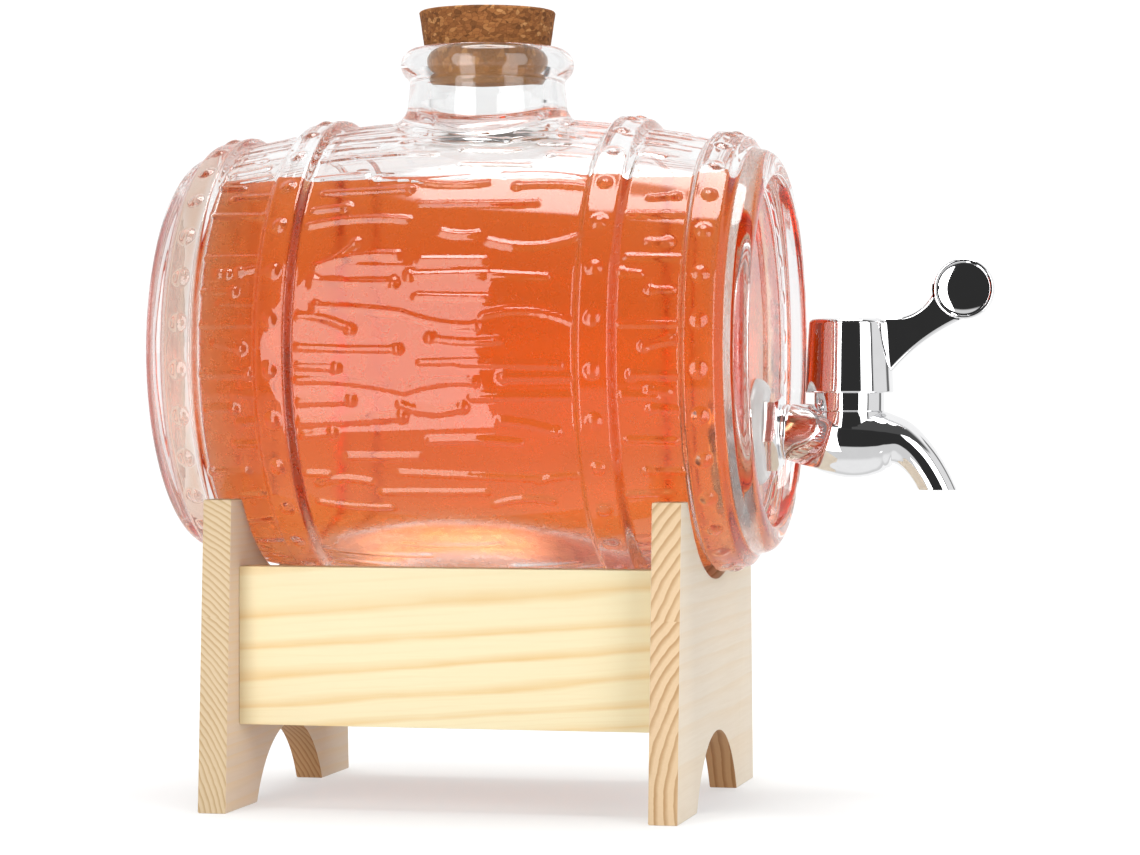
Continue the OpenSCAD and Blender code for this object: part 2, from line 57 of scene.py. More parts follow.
REAR_HEAD_IN = 61.5
RIM_ROUND = 4.2
INNER_ROUND = 7.0
RECESS_R = 41.19
RECESS_MOUTH_R = 42.39
BASE_TOP = -38.1
BASE_CURVE = 140.0
BASE_BLEND = 6.0
HOOPS = (-62.3, -38.4, 38.4, 62.3)
HOOP_WIDTH = 8.6
HOOP_PROUD = 2.3
HOOP_SOFT = 2.1
NECK_R = 19.1
NECK_TOP = 74.2
BEAD_Z = 70.3
BEAD_R = 4.2
BEAD_OUT_R = 21.3
SEAT_R = 13.95
CORK_LOW, CORK_HIGH = 64.6, 83.6
CORK_LOW_R, CORK_HIGH_R = 13.9, 16.8
SEAT_TAPER = (CORK_HIGH_R - CORK_LOW_R) / (CORK_HIGH - CORK_LOW)
HOLE_R = 7.0
SHANK_R = 5.0
NUT_IN_X, NUT_OUT_X = 69.9, 73.2
RING_OUT_X = 75.0
TAP_DROP = 19.5
VALVE_X = 89.6
TAP_AT = (0, 0, -TAP_DROP)
VALVE_AT = (VALVE_X, 0, -TAP_DROP)
BOARD_THICK = 7.0
FRONT_BOARD_X, REAR_BOARD_X = 50.5, -57.5
RAIL_Y = 38.5
RAIL_HALF_THICK = 3.5
RAIL_HALF = 50.5
RAIL_LOW, RAIL_HIGH = 20.185, 57.785

# Forms that only the visual model has
DRINK_LEVEL = 38.6
DRINK_GAP = 0.06
OUTER_WAVES = (4.0, 0.05)
INNER_WAVES = (5.0, 0.12)
RIVETS = 30
RIVET_R = 2.0
RIVET_H = 0.7
RIVET_TURN = math.radians(1.0)
GRAIN_WIDTH = 1.05
GRAIN_HIGH = 0.6
BACK_HIGH = 0.25
KNOB_R = 1.5
KNOB_HIGH = 0.75
GRAIN_REACH = 2.2
UNROLL_R = 55.0

# Camera, found from the photograph
CAM_AZ = math.radians(12.48)
CAM_EL = math.radians(0.51)
CAM_DIST = 857.66
CAM_TARGET = (20.77, 0.0, 90.48 - AXIS_Z)
FOCAL_PX = 3503.89
PHOTO_W, PHOTO_H = 1140, 855
SENSOR = 36.0

# Density of the barrel mesh, and the window left in it for the neck
TURN_COUNT = 720
NECK_COLUMNS = 60
NECK_X = 30.0
GRID_END = 68.0


def camera_axes():
    """Camera place and its right, up and forward directions, in the barrel frame."""
    level = math.cos(CAM_EL)
    back = np.array([math.sin(CAM_AZ) * level, -math.cos(CAM_AZ) * level, math.sin(CAM_EL)])
    place = np.array(CAM_TARGET) + CAM_DIST * back
    right = np.array([math.cos(CAM_AZ), math.sin(CAM_AZ), 0.0])
    up = np.cross(back, right)
    return place, right, up, -back


# Mesh helpers

def turns(count):
    """Equal turns round a full circle."""
    return np.arange(count) * 2 * math.pi / count


def to_model(points):
    """Barrel frame millimetres to model frame metres."""
    out = np.asarray(points, float).copy()
    out[:, 0] += MID_X
    out[:, 2] += AXIS_Z
    return out * 0.001


def new_object(name, data):
    obj = bpy.data.objects.new(name, data)
    bpy.context.scene.collection.objects.link(obj)
    return obj


def make_object(name, points, faces, sharp=None):
    mesh = bpy.data.meshes.new(name)
    mesh.from_pydata(to_model(points).tolist(), [], [list(f) for f in faces])
    mesh.update()
    return finished(new_object(name, mesh), sharp)


@contextmanager
def editing(mesh):
    bm = bmesh.new()
    bm.from_mesh(mesh)
    yield bm
    bm.to_mesh(mesh)
    bm.free()


def finished(obj, sharp):
    """Drops loose points, turns all faces outwards and shades."""
    with editing(obj.data) as bm:
        loose = [v for v in bm.verts if not v.link_faces]
        bmesh.ops.delete(bm, geom=loose, context="VERTS")
        bmesh.ops.recalc_face_normals(bm, faces=bm.faces)
        if bm.calc_volume(signed=True) < 0:
            bmesh.ops.reverse_faces(bm, faces=bm.faces)
    shade(obj, sharp)
    return obj


def shade(obj, sharp):
    """Smooth shading, with edges over the angle sharp (degrees) kept crisp."""
    mesh = obj.data
    mesh.polygons.foreach_set("use_smooth", [True] * len(mesh.polygons))
    if sharp is not None:
        limit = math.radians(sharp)
        with editing(mesh) as bm:
            for e in bm.edges:
                if len(e.link_faces) == 2 and e.calc_face_angle(0.0) > limit:
                    e.smooth = False
    mesh.update()


def lathe(profile, count, axis, centre=(0, 0, 0)):
    """Points and faces of a closed profile (radius, along) turned round an axis.

    A profile point with radius 0 becomes one point on the axis."""
    points, rings = [], []
    for radius, along in profile:
        spots = turns(count) if radius > 1e-6 else [0.0]
        rings.append(range(len(points), len(points) + len(spots)))
        points += [(radius * math.cos(t), radius * math.sin(t), along) for t in spots]
    pairs = list(zip(rings, rings[1:]))
    if len(rings[0]) > 1 and len(rings[-1]) > 1:
        pairs.append((rings[-1], rings[0]))
    faces = []
    for a, b in pairs:
        for k in range(count):
            n = (k + 1) % count
            corners = [a[k % len(a)], a[n % len(a)], b[n % len(b)], b[k % len(b)]]
            corners = list(dict.fromkeys(corners))
            if len(corners) > 2:
                faces.append(corners)
    order = {"X": [2, 0, 1], "Y": [0, 2, 1], "Z": [0, 1, 2]}[axis]
    return np.array(points)[:, order] + np.array(centre), faces


def lathe_object(name, profile, count, axis, centre, sharp=32):
    return make_object(name, *lathe(profile, count, axis, centre), sharp)


def arc(cr, ca, radius, start, end, count):
    """Profile points (radius, along) on an arc; angles in degrees from the radius direction."""
    turn = np.radians(np.linspace(start, end, count))
    return [(cr + radius * math.cos(t), ca + radius * math.sin(t)) for t in turn]


def boolean(obj, other, operation):
    mod = obj.modifiers.new("cut", "BOOLEAN")
    mod.operation = operation
    mod.solver = "MANIFOLD"
    mod.object = other
    depsgraph = bpy.context.evaluated_depsgraph_get()
    result = bpy.data.meshes.new_from_object(obj.evaluated_get(depsgraph))
    obj.modifiers.remove(mod)
    old = obj.data
    obj.data = result
    bpy.data.meshes.remove(old)
    bpy.data.objects.remove(other)


def turned_tool(obj, profile, count, axis, centre, operation="DIFFERENCE"):
    """Cuts a turned solid from an object, or adds it."""
    boolean(obj, lathe_object("turned_tool", profile, count, axis, centre), operation)


def rod(radius, low, high):
    """Profile of a plain solid rod."""
    return [(0, low), (radius, low), (radius, high), (0, high)]


def prism(outline, low, high, axis="Y", bevel=0.0, segments=2):
    """A closed outline (a, b) drawn from low to high along an axis, with rounded edges."""
    def spot(a, b, along):
        return (a, along, b) if axis == "Y" else (along, a, b)

    bm = bmesh.new()
    face = bm.faces.new([bm.verts.new(spot(a, b, low)) for a, b in outline])
    grown = bmesh.ops.extrude_face_region(bm, geom=[face])
    moved = [g for g in grown["geom"] if isinstance(g, bmesh.types.BMVert)]
    bmesh.ops.translate(bm, vec=Vector(spot(0, 0, high - low)), verts=moved)
    bmesh.ops.recalc_face_normals(bm, faces=bm.faces)
    if bevel:
        corner = math.radians(25)
        edges = [e for e in bm.edges if e.calc_face_angle(0.0) > corner]
        bmesh.ops.bevel(bm, geom=edges, offset=bevel, segments=segments, profile=0.5, affect="EDGES")
    points = np.array([v.co[:] for v in bm.verts])
    bm.verts.index_update()
    faces = [[v.index for v in f.verts] for f in bm.faces]
    bm.free()
    return points, faces


class Skin:
    """Collects rings of points and the faces between them."""

    def __init__(self):
        self.rings = []
        self.faces = []
        self.count = 0

    def add(self, pts):
        pts = np.asarray(pts, float)
        first = self.count
        self.rings.append(pts)
        self.count += len(pts)
        return np.arange(first, self.count)

    def join(self, a, b):
        an, bn = np.roll(a, -1), np.roll(b, -1)
        self.faces.extend(np.stack([a, an, bn, b], 1).tolist())

    def tube(self, rings, ring):
        """Adds rings in turn, each joined to the one before it, and returns the last."""
        for pts in rings:
            new = self.add(pts)
            self.join(ring, new)
            ring = new
        return ring

    def cap(self, ring, centre):
        tip = self.add([centre])[0]
        self.faces.extend([[int(p), int(q), int(tip)] for p, q in zip(ring, np.roll(ring, -1))])

    def points(self):
        return np.concatenate(self.rings)


# Pressed glass barrel

def stave(x):
    """Radius of the plain barrel at x."""
    return BODY_R - BULGE_R + np.sqrt(BULGE_R ** 2 - x * x)


def smooth(t):
    t = np.clip(t, 0.0, 1.0)
    return t * t * (3 - 2 * t)


def mound(dist, reach, power):
    """Rounded rise, 1 at its middle and 0 from the distance reach on."""
    return np.clip(1 - (dist / reach) ** 2, 0, 1) ** power


def hoop_lift(x):
    lift = np.zeros_like(x)
    half = HOOP_WIDTH / 2 + HOOP_SOFT / 2 - 0.1
    for centre in HOOPS:
        edge = (half - np.abs(x - centre)) / HOOP_SOFT
        lift = np.maximum(lift, HOOP_PROUD * smooth(edge))
    return lift


def rivet_lift(x, phi):
    lift = np.zeros_like(x)
    step = 2 * math.pi / RIVETS
    for centre in HOOPS:
        near = np.abs(x - centre) < RIVET_R
        if not near.any():
            continue
        turn = phi[near] - RIVET_TURN
        off = (turn - np.round(turn / step) * step) * stave(np.array(centre))
        dome = RIVET_H * mound(np.hypot(x[near] - centre, off), RIVET_R, 1.1)
        lift[near] = np.maximum(lift[near], dome)
    return lift


# Raised wood grain lines on the front, read from the photograph: first and last pixel,
# sag in pixels, and the ends that carry a knob (1 the first, 2 the last, 3 both)
GRAIN_FRONT = [
    (414, 181, 488, 183, 3, 0), (518, 186, 590, 188, -2, 1), (324, 194, 411, 189, 0, 2),
    (314, 211, 346, 207, 0, 2), (309, 226, 407, 220, -4, 0), (420, 204, 536, 203, 0, 0),
    (441, 232, 476, 234, 2, 0), (488, 241, 581, 236, 8, 0), (316, 266, 355, 243, 4, 2),
    (330, 262, 398, 257, -4, 0), (374, 254, 398, 254, 0, 0), (420, 260, 485, 260, 0, 0),
    (409, 276, 484, 274, 0, 1), (490, 274, 547, 277, 0, 0), (313, 281, 393, 283, 1, 3),
    (415, 297, 488, 298, 0, 0), (482, 316, 577, 324, -9, 0), (316, 307, 400, 313, -1, 1),
    (400, 313, 476, 326, 4, 2), (297, 316, 350, 329, -4, 2), (296, 347, 397, 349, 1, 2),
    (297, 366, 336, 368, 0, 2), (296, 380, 404, 391, -4, 0), (404, 391, 474, 382, -4, 0),
    (420, 362, 480, 361, 0, 0), (298, 402, 351, 400, 0, 2), (400, 404, 462, 407, 6, 2),
    (299, 422, 402, 416, 1, 2), (302, 436, 333, 433, 0, 2), (348, 457, 420, 457, 0, 0),
    (400, 473, 538, 479, 0, 0), (306, 473, 329, 474, 0, 0), (318, 483, 372, 482, -4, 0),
    (383, 492, 488, 492, 0, 0), (320, 501, 392, 507, 2, 0), (503, 377, 579, 377, 0, 1),
    (471, 397, 579, 397, 0, 0), (538, 481, 586, 476, -2, 0), (495, 504, 553, 501, -4, 0),
    (460, 363, 560, 365, 0, 0), (430, 441, 520, 443, -2, 0), (500, 421, 556, 432, -2, 2),
    (430, 338, 500, 340, 3, 1), (221, 189, 243, 189, 0, 0), (235, 199, 272, 197, 0, 0),
    (212, 217, 265, 217, 0, 2), (207, 259, 259, 258, 0, 0), (219, 274, 227, 274, 0, 3),
    (239, 272, 259, 268, 0, 1), (203, 292, 233, 292, 0, 2), (220, 303, 257, 303, 0, 0),
    (202, 325, 258, 324, 0, 0), (214, 343, 240, 349, 0, 2), (202, 374, 248, 374, 0, 2),
    (235, 394, 258, 396, 0, 2), (207, 409, 233, 409, 0, 2), (240, 423, 262, 421, 0, 0),
    (236, 444, 265, 444, 0, 2), (212, 471, 246, 471, 0, 3), (233, 495, 270, 494, 0, 0),
    (247, 522, 278, 519, 0, 2), (255, 541, 287, 540, 0, 0), (650, 198, 676, 196, 0, 2),
    (629, 214, 683, 214, 0, 0), (648, 242, 668, 242, 0, 2), (627, 257, 681, 258, 0, 0),
    (622, 272, 640, 274, 0, 1), (651, 290, 672, 290, 0, 1), (619, 324, 681, 324, 0, 0),
    (644, 346, 675, 339, 0, 3), (632, 374, 681, 375, 0, 1), (650, 390, 668, 392, 0, 1),
    (623, 396, 656, 397, 0, 1), (652, 409, 683, 410, 0, 1), (648, 471, 687, 471, 0, 3),
    (629, 494, 670, 493, 0, 0), (628, 440, 676, 441, 0, 0),
]


def photo_to_barrel(px, py):
    """Point (x, turn) on the barrel that a pixel of the photograph sees, the turn measured from the top."""
    place, right, up, ahead = camera_axes()
    ray = ahead + right * (px - PHOTO_W / 2) / FOCAL_PX - up * (py - PHOTO_H / 2) / FOCAL_PX
    radius = BODY_R
    end = 70
    for _ in range(6):
        a = ray[1] ** 2 + ray[2] ** 2
        b = place[1] * ray[1] + place[2] * ray[2]
        c = place[1] ** 2 + place[2] ** 2 - radius ** 2
        root = max(b * b - a * c, 0.0)
        hit = place + ray * (-b - math.sqrt(root)) / a
        radius = float(stave(np.clip(hit[0], -end, end)))
    return hit[0], math.atan2(hit[1], hit[2])


def grain_lines():
    """All raised lines as lists of (x, turn) points, with the ends that carry a knob and the height."""
    lines = []
    for px0, py0, px1, py1, sag, ends in GRAIN_FRONT:
        t = np.linspace(0, 1, 9)
        xs = px0 + (px1 - px0) * t
        ys = py0 + (py1 - py0) * t + sag * 4 * t * (1 - t)
        lines.append(([photo_to_barrel(x, y) for x, y in zip(xs, ys)], ends, GRAIN_HIGH))
    # made up lines between the hoops on the sides that the photograph doesn't show
    rng = np.random.default_rng(11)
    bands = [(-57.6, -43.2), (-33.6, 33.6), (43.2, 57.6)]
    longest, shortest = 34, 5
    first_turn, last_turn, turn_step = -44, 216, 4.9
    for turn in np.arange(first_turn, last_turn, turn_step):
        for low, high in bands:
            spot = low
            while spot < high - shortest:
                length = rng.uniform(0.35, 0.95) * min(high - low, longest)
                gap = rng.uniform(2, 12)
                end = min(spot + length, high)
                lift = rng.uniform(-1.4, 1.4)
                bow = rng.uniform(-1.6, 1.6)
                ends = int(rng.integers(0, 4))
                t = np.linspace(0, 1, 7)
                phi = np.radians(turn + lift + bow * 4 * t * (1 - t) * (end - spot) / longest)
                if rng.uniform() < 0.8 and end - spot > shortest:
                    lines.append(([(spot + (end - spot) * q, p) for q, p in zip(t, phi)], ends, BACK_HIGH))
                spot = end + gap
    return lines


def grain_lift(x, phi):
    lift = np.zeros_like(x)
    for line, ends, high in grain_lines():
        xs, turn_at = np.array(line).T
        middle = turn_at.mean()
        turn = np.mod(phi - middle + math.pi, 2 * math.pi) - math.pi
        reach = np.abs(turn_at - middle).max() + GRAIN_REACH / BODY_R
        near = (x > xs.min() - GRAIN_REACH) & (x < xs.max() + GRAIN_REACH) & (np.abs(turn) < reach)
        if not near.any():
            continue
        u = np.stack([x[near], turn[near] * UNROLL_R], 1)
        path = np.stack([xs, (turn_at - middle) * UNROLL_R], 1)
        dist = np.full(len(u), 9.0)
        for a, b in zip(path[:-1], path[1:]):
            step = b - a
            t = np.clip(((u - a) @ step) / (step @ step + 1e-9), 0, 1)
            dist = np.minimum(dist, np.hypot(*(u - a - t[:, None] * step).T))
        ridge = high * mound(dist, GRAIN_WIDTH, 1.3)
        for flag, end in ((1, path[0]), (2, path[-1])):
            if ends & flag:
                knob = high / GRAIN_HIGH * KNOB_HIGH * mound(np.hypot(*(u - end).T), KNOB_R, 0.9)
                ridge = np.maximum(ridge, knob)
        lift[near] = np.maximum(lift[near], ridge)
    return lift


def waves(x, phi, scale, size):
    """Slow unevenness of pressed glass."""
    return size * (
        np.sin(x / (3.1 * scale) + 2 * np.sin(phi * 3)) * 0.5
        + np.sin(phi * 11 + x / (4.7 * scale)) * 0.3
        + np.sin(phi * 23 - x / (2.3 * scale)) * 0.2
    )


def inner_radius(x, phi):
    """Radius of the cavity, with the heavy base at the bottom."""
    mid = np.where(x > 0, HEAD_IN, REAR_HEAD_IN) - INNER_ROUND
    curve = BULGE_R - WALL
    wall = BODY_R - WALL - curve + np.sqrt(curve ** 2 - np.minimum(np.abs(x), mid) ** 2)
    over = np.clip((np.abs(x) - mid) / INNER_ROUND, 0, 1)
    wall = wall - INNER_ROUND * (1 - np.sqrt(np.clip(1 - over * over, 0, 1)))
    base_half = 60.0
    base = -BASE_TOP + BASE_CURVE - np.sqrt(BASE_CURVE ** 2 - np.minimum(x * x, base_half ** 2))
    down = np.clip(-np.cos(phi), 1e-3, 1)
    flat = np.where(np.cos(phi) < 0, base / down, 1e3)
    soft = np.clip(0.5 + 0.5 * (wall - flat) / BASE_BLEND, 0, 1)
    return wall * (1 - soft) + np.minimum(flat, 200) * soft - BASE_BLEND * soft * (1 - soft)


def cavity_radii(xs, phis):
    """Radius of the uneven cavity wall, a row for each station."""
    gx, gp = np.meshgrid(xs, phis, indexing="ij")
    return inner_radius(gx, gp) + waves(gx, gp, *INNER_WAVES)


def around_x(x, radius, phi):
    """Ring round the barrel axis."""
    return np.stack([np.full_like(phi, x), radius * np.sin(phi), radius * np.cos(phi)], 1)


def around_z(turn, radius, height=0.0):
    """Ring round the neck; the height is one number or one for each turn."""
    height = np.broadcast_to(height, turn.shape)
    return np.column_stack([radius * np.cos(turn), radius * np.sin(turn), height])


def body_stations():
    """Stations along the barrel, closer together at the hoop edges."""
    xs, x = [], -GRID_END
    while x < GRID_END:
        xs.append(x)
        edge = min(abs(abs(x - c) - HOOP_WIDTH / 2) for c in HOOPS)
        x += 0.3 if edge < 1.2 else 0.5
    xs.append(GRID_END)
    xs = np.array(xs)
    return (xs - xs[::-1]) / 2


def inner_stations(start, head):
    """Stations of the cavity from start to the rounded corner at a head."""
    mid = head - INNER_ROUND
    straight = np.linspace(start, mid, 30)[1:]
    corner = mid + INNER_ROUND * np.sin(np.radians(np.linspace(0, 90, 14)[1:-1]))
    return np.concatenate([straight, corner])


def cavity_stations(core):
    """Stations of the whole cavity, from the rear head to the front head."""
    end = core[-1]
    return np.concatenate([-inner_stations(end, REAR_HEAD_IN)[::-1], core, inner_stations(end, HEAD_IN)])


def neck_window(xs):
    """Numbers of the first and last station of the window for the neck."""
    return int(np.argmin(np.abs(xs + NECK_X))), int(np.argmin(np.abs(xs - NECK_X)))


def grid_with_hole(skin, xs, radii, phis):
    """Rings along the barrel with a window at the top for the neck: the index grid and the window's edge."""
    grid = np.array([skin.add(around_x(x, radius, phis)) for x, radius in zip(xs, radii)])
    low, high = neck_window(xs)
    side = NECK_COLUMNS
    for i in range(len(xs) - 1):
        cols = np.arange(TURN_COUNT)
        if low <= i < high:
            cols = cols[(cols >= side) & (cols < TURN_COUNT - side)]
        nxt = (cols + 1) % TURN_COUNT
        quads = [grid[i, cols], grid[i, nxt], grid[i + 1, nxt], grid[i + 1, cols]]
        skin.faces.extend(np.stack(quads, 1).tolist())
    edge = [grid[i, -side] for i in range(low, high)]
    edge += [grid[high, j] for j in range(-side, side)]
    edge += [grid[i, side] for i in range(high, low, -1)]
    edge += [grid[low, j] for j in range(side, -side, -1)]
    return grid, np.array(edge)


def wall_to_hole(x, start_r, steps, phis):
    """Rings of a front wall at x, drawn in from the radius start_r to the tap hole."""
    for t in steps:
        pts = around_x(x, start_r + (HOLE_R - start_r) * t, phis)
        pts[:, 2] -= TAP_DROP * t
        yield pts


def height_over(radius, y):
    """Height above the axis of a round wall, at the side offset y."""
    return np.sqrt(np.maximum(radius * radius - y * y, 1.0))


def on_stave(x, y):
    return height_over(stave(x), y)


def on_body(x, y):
    r = stave(x)
    phi = np.arctan2(y, height_over(r, y))
    return height_over(r + grain_lift(x, phi) + waves(x, phi, *OUTER_WAVES), y)


def on_cavity(x, y):
    return height_over(inner_radius(x, np.zeros_like(x)), y)


def draped(xy, surface, lift=0.0):
    """Ring that lies on a surface, or above it."""
    return np.column_stack([xy, surface(*xy.T) + lift])


def fillet(turn, radius, size, surface, angles):
    """Rings of the rounded corner between the neck and a surface."""
    for a in np.radians(angles):
        xy = around_z(turn, radius - size * math.sin(a))[:, :2]
        yield draped(xy, surface, size * (1 - math.cos(a)))


def neck_edge(skin, window):
    """Points (x, y) of a window's edge, and their turns round the neck."""
    edge = skin.points()[window][:, :2]
    return edge, np.arctan2(edge[:, 1], edge[:, 0])


def neck_outside(skin, window):
    """Neck from the window in the body up over the lip and down the cork seat; returns the last ring."""
    edge, turn = neck_edge(skin, window)
    flare, foot = 0.5, 4.2
    foot_r = NECK_R + flare + foot
    reach = around_z(turn, foot_r)[:, :2] - edge
    rings = [draped(edge + reach * t, on_body) for t in np.linspace(0, 1, 15)[1:]]
    rings += fillet(turn, foot_r, foot, on_stave, np.linspace(0, 84, 12)[1:])
    foot_z = rings[-1][:, 2]
    top_z = BEAD_Z - BEAD_R + 0.55 - 0.9
    for t in np.linspace(0, 1, 9)[1:]:
        r = NECK_R + flare - flare * smooth(np.array(t))
        rings.append(around_z(turn, r, foot_z + (top_z - foot_z) * t))
    neck = arc(BEAD_OUT_R - BEAD_R, BEAD_Z, BEAD_R, -56, 88, 26)
    lip_r = SEAT_R + SEAT_TAPER * (NECK_TOP - CORK_LOW)
    neck += [(lip_r + 0.75, NECK_TOP + 0.27), (lip_r + 0.25, NECK_TOP + 0.05), (lip_r, NECK_TOP - 0.5)]
    neck += [(SEAT_R + SEAT_TAPER * (z - CORK_LOW), z) for z in np.linspace(NECK_TOP - 1.2, CORK_LOW, 9)]
    return skin.tube(rings + [around_z(turn, r, z) for r, z in neck], window)


def neck_bore(skin, ring, window):
    """Bore from the cork seat down to the window in the cavity."""
    edge, turn = neck_edge(skin, window)
    soft = 3.2
    mouth_r = SEAT_R + soft
    end = on_cavity(SEAT_R * np.cos(turn), SEAT_R * np.sin(turn)) + soft
    rings = [around_z(turn, SEAT_R, CORK_LOW + (end - CORK_LOW) * t) for t in np.linspace(0, 1, 7)[1:]]
    rings += fillet(turn, mouth_r, soft, on_cavity, np.linspace(84, 0, 9))
    start = around_z(turn, mouth_r)[:, :2]
    rings += [draped(start + (edge - start) * t, on_cavity) for t in np.linspace(0, 1, 11)[1:-1]]
    skin.join(skin.tube(rings, ring), window)


def glass_barrel():
    skin = Skin()
    phis = turns(TURN_COUNT)
    xs = body_stations()
    tip_r = 1.5

    # outside, with hoops, rivets and grain
    gx, gp = np.meshgrid(xs, phis, indexing="ij")
    raised = np.maximum(hoop_lift(gx) + rivet_lift(gx, gp), grain_lift(gx, gp))
    outer = stave(gx) + raised + waves(gx, gp, *OUTER_WAVES)
    grid, window = grid_with_hole(skin, xs, outer, phis)

    # rims, recesses and heads
    mid = BODY_HALF - RIM_ROUND
    mid_r = BODY_R - BULGE_R + math.sqrt((BULGE_R - RIM_ROUND) ** 2 - mid * mid)
    lean = math.degrees(math.asin(mid / (BULGE_R - RIM_ROUND)))
    rim = arc(mid_r, mid, RIM_ROUND, lean, 90, 16)[1:]
    mouth_round, foot_round = 1.3, 1.7
    rim += arc(RECESS_MOUTH_R + 1.0, BODY_HALF - mouth_round, mouth_round, 90, 180, 8)
    rim += [(RECESS_MOUTH_R - 0.55 - 0.22 * k, BODY_HALF - 1.8 - k * 0.8) for k in range(2)]
    edge_r = RECESS_R - foot_round
    rim += arc(edge_r, HEAD_FACE + foot_round, foot_round, 0, -90, 8)
    front = skin.tube((around_x(x, r, phis) for r, x in rim), grid[-1])
    rear = skin.tube((around_x(-x, r, phis) for r, x in rim), grid[0])
    proud = 0.36
    head = np.linspace(edge_r, tip_r, 26)[1:]
    swell = proud * (1 - (head / edge_r) ** 2)
    rear = skin.tube((around_x(-HEAD_FACE - s, r, phis) for r, s in zip(head, swell)), rear)
    skin.cap(rear, (-HEAD_FACE - proud, 0, 0))
    hole = skin.tube(wall_to_hole(HEAD_FACE, edge_r, np.linspace(0, 1, 26)[1:], phis), front)

    # cavity
    low, high = neck_window(xs)
    ins = cavity_stations(xs[low:high + 1])
    grid_in, window_in = grid_with_hole(skin, ins, cavity_radii(ins, phis), phis)
    rear_r, front_r = inner_radius(ins[[0, -1]], np.zeros(2))
    walls = np.linspace(rear_r, tip_r, 16)[1:]
    rear = skin.tube((around_x(-REAR_HEAD_IN, r, phis) for r in walls), grid_in[0])
    skin.cap(rear, (-REAR_HEAD_IN, 0, 0))
    front = skin.tube(wall_to_hole(HEAD_IN, front_r, np.linspace(0.06, 1, 16), phis), grid_in[-1])
    skin.join(front, hole)

    seat = neck_outside(skin, window)
    neck_bore(skin, seat, window_in)
    barrel = make_object("barrel_glass", skin.points(), skin.faces)
    mark_wetted(barrel)
    return barrel


def mark_wetted(barrel):
    """Second material on the faces of the cavity that the drink covers."""
    faces = barrel.data.polygons
    centres = np.empty(len(faces) * 3)
    faces.foreach_get("center", centres)
    x, y, z = (centres.reshape(-1, 3) * 1000 - np.array([MID_X, 0, AXIS_Z])).T
    slack = 0.05
    inside = np.hypot(y, z) < inner_radius(x, np.arctan2(y, z)) + 1.0
    inside &= (x > -REAR_HEAD_IN - slack) & (x < HEAD_IN + slack)
    wetted = inside & (z < DRINK_LEVEL)
    faces.foreach_set("material_index", wetted.astype(np.int32))


def drink():
    """The drink, just inside the wetted glass, which carries the change from glass to drink."""
    skin = Skin()
    phis = turns(240)
    xs = cavity_stations(np.linspace(-NECK_X, NECK_X, 51))
    shrink = HEAD_IN - DRINK_GAP
    radii = cavity_radii(xs, phis) - DRINK_GAP
    rings = [around_x(x * shrink / HEAD_IN, radius, phis) for x, radius in zip(xs, radii)]
    first = skin.add(rings[0])
    last = skin.tube(rings[1:], first)
    skin.cap(first, (DRINK_GAP - REAR_HEAD_IN, 0, 0))
    skin.cap(last, (shrink, 0, 0))
    obj = make_object("drink", skin.points(), skin.faces)
    level = (DRINK_LEVEL + AXIS_Z) * 0.001
    with editing(obj.data) as bm:
        cut = bmesh.ops.bisect_plane(bm, geom=bm.verts[:] + bm.edges[:] + bm.faces[:], dist=1e-7,
                                     plane_co=(0, 0, level), plane_no=(0, 0, 1), clear_outer=True)
        rim = [e for e in cut["geom_cut"] if isinstance(e, bmesh.types.BMEdge)]
        bmesh.ops.contextual_create(bm, geom=rim)
        bmesh.ops.recalc_face_normals(bm, faces=bm.faces)
    shade(obj, 40)
    obj.visible_diffuse = False
    return obj


def cork():
    rng = np.random.default_rng(5)
    profile = [((CORK_LOW_R - 0.7) * t, CORK_LOW) for t in np.linspace(0, 1, 9)]
    profile += arc(CORK_LOW_R - 0.6, CORK_LOW + 0.6, 0.6, -60, -5, 4)
    side = np.linspace(CORK_LOW + 0.9, CORK_HIGH - 0.8, 44)
    profile += [(CORK_LOW_R + SEAT_TAPER * (z - CORK_LOW), z) for z in side]
    profile += arc(CORK_HIGH_R - 0.75, CORK_HIGH - 0.7, 0.7, 10, 80, 4)
    profile += [((CORK_HIGH_R - 1.0) * t, CORK_HIGH) for t in np.linspace(1, 0, 22)]
    points, faces = lathe(profile, 150, "Z")
    # pits and slight unevenness of pressed cork granules
    pits = []
    for _ in range(150):
        turn = rng.uniform(0, 2 * math.pi)
        z = rng.uniform(CORK_LOW + 8.5, CORK_HIGH - 0.3)
        pits.append((turn, z, rng.uniform(0.35, 0.95), rng.uniform(0.12, 0.42)))
    mean_r, squat = 15.5, 1.6
    radius = np.hypot(points[:, 0], points[:, 1])
    turn = np.arctan2(points[:, 1], points[:, 0])
    z = points[:, 2]
    dent = np.zeros(len(points))
    for t0, z0, size, deep in pits:
        off = np.mod(turn - t0 + math.pi, 2 * math.pi) - math.pi
        dent = np.maximum(dent, deep * mound(np.hypot(off * mean_r, (z - z0) * squat), size, 1.0))
    dent += 0.06 * np.sin(turn * 37 + z * 3.1) * np.sin(z * 2.3 + turn * 19)
    free = (radius > CORK_LOW_R - 1.5) & (z > NECK_TOP + 0.2)
    dent = np.where(free, dent, 0)
    scale = np.where(radius > 1e-6, (radius - dent) / np.maximum(radius, 1e-6), 1)
    points[:, :2] *= scale[:, None]
    return make_object("cork_body", points, faces, 50)


# Pine stand

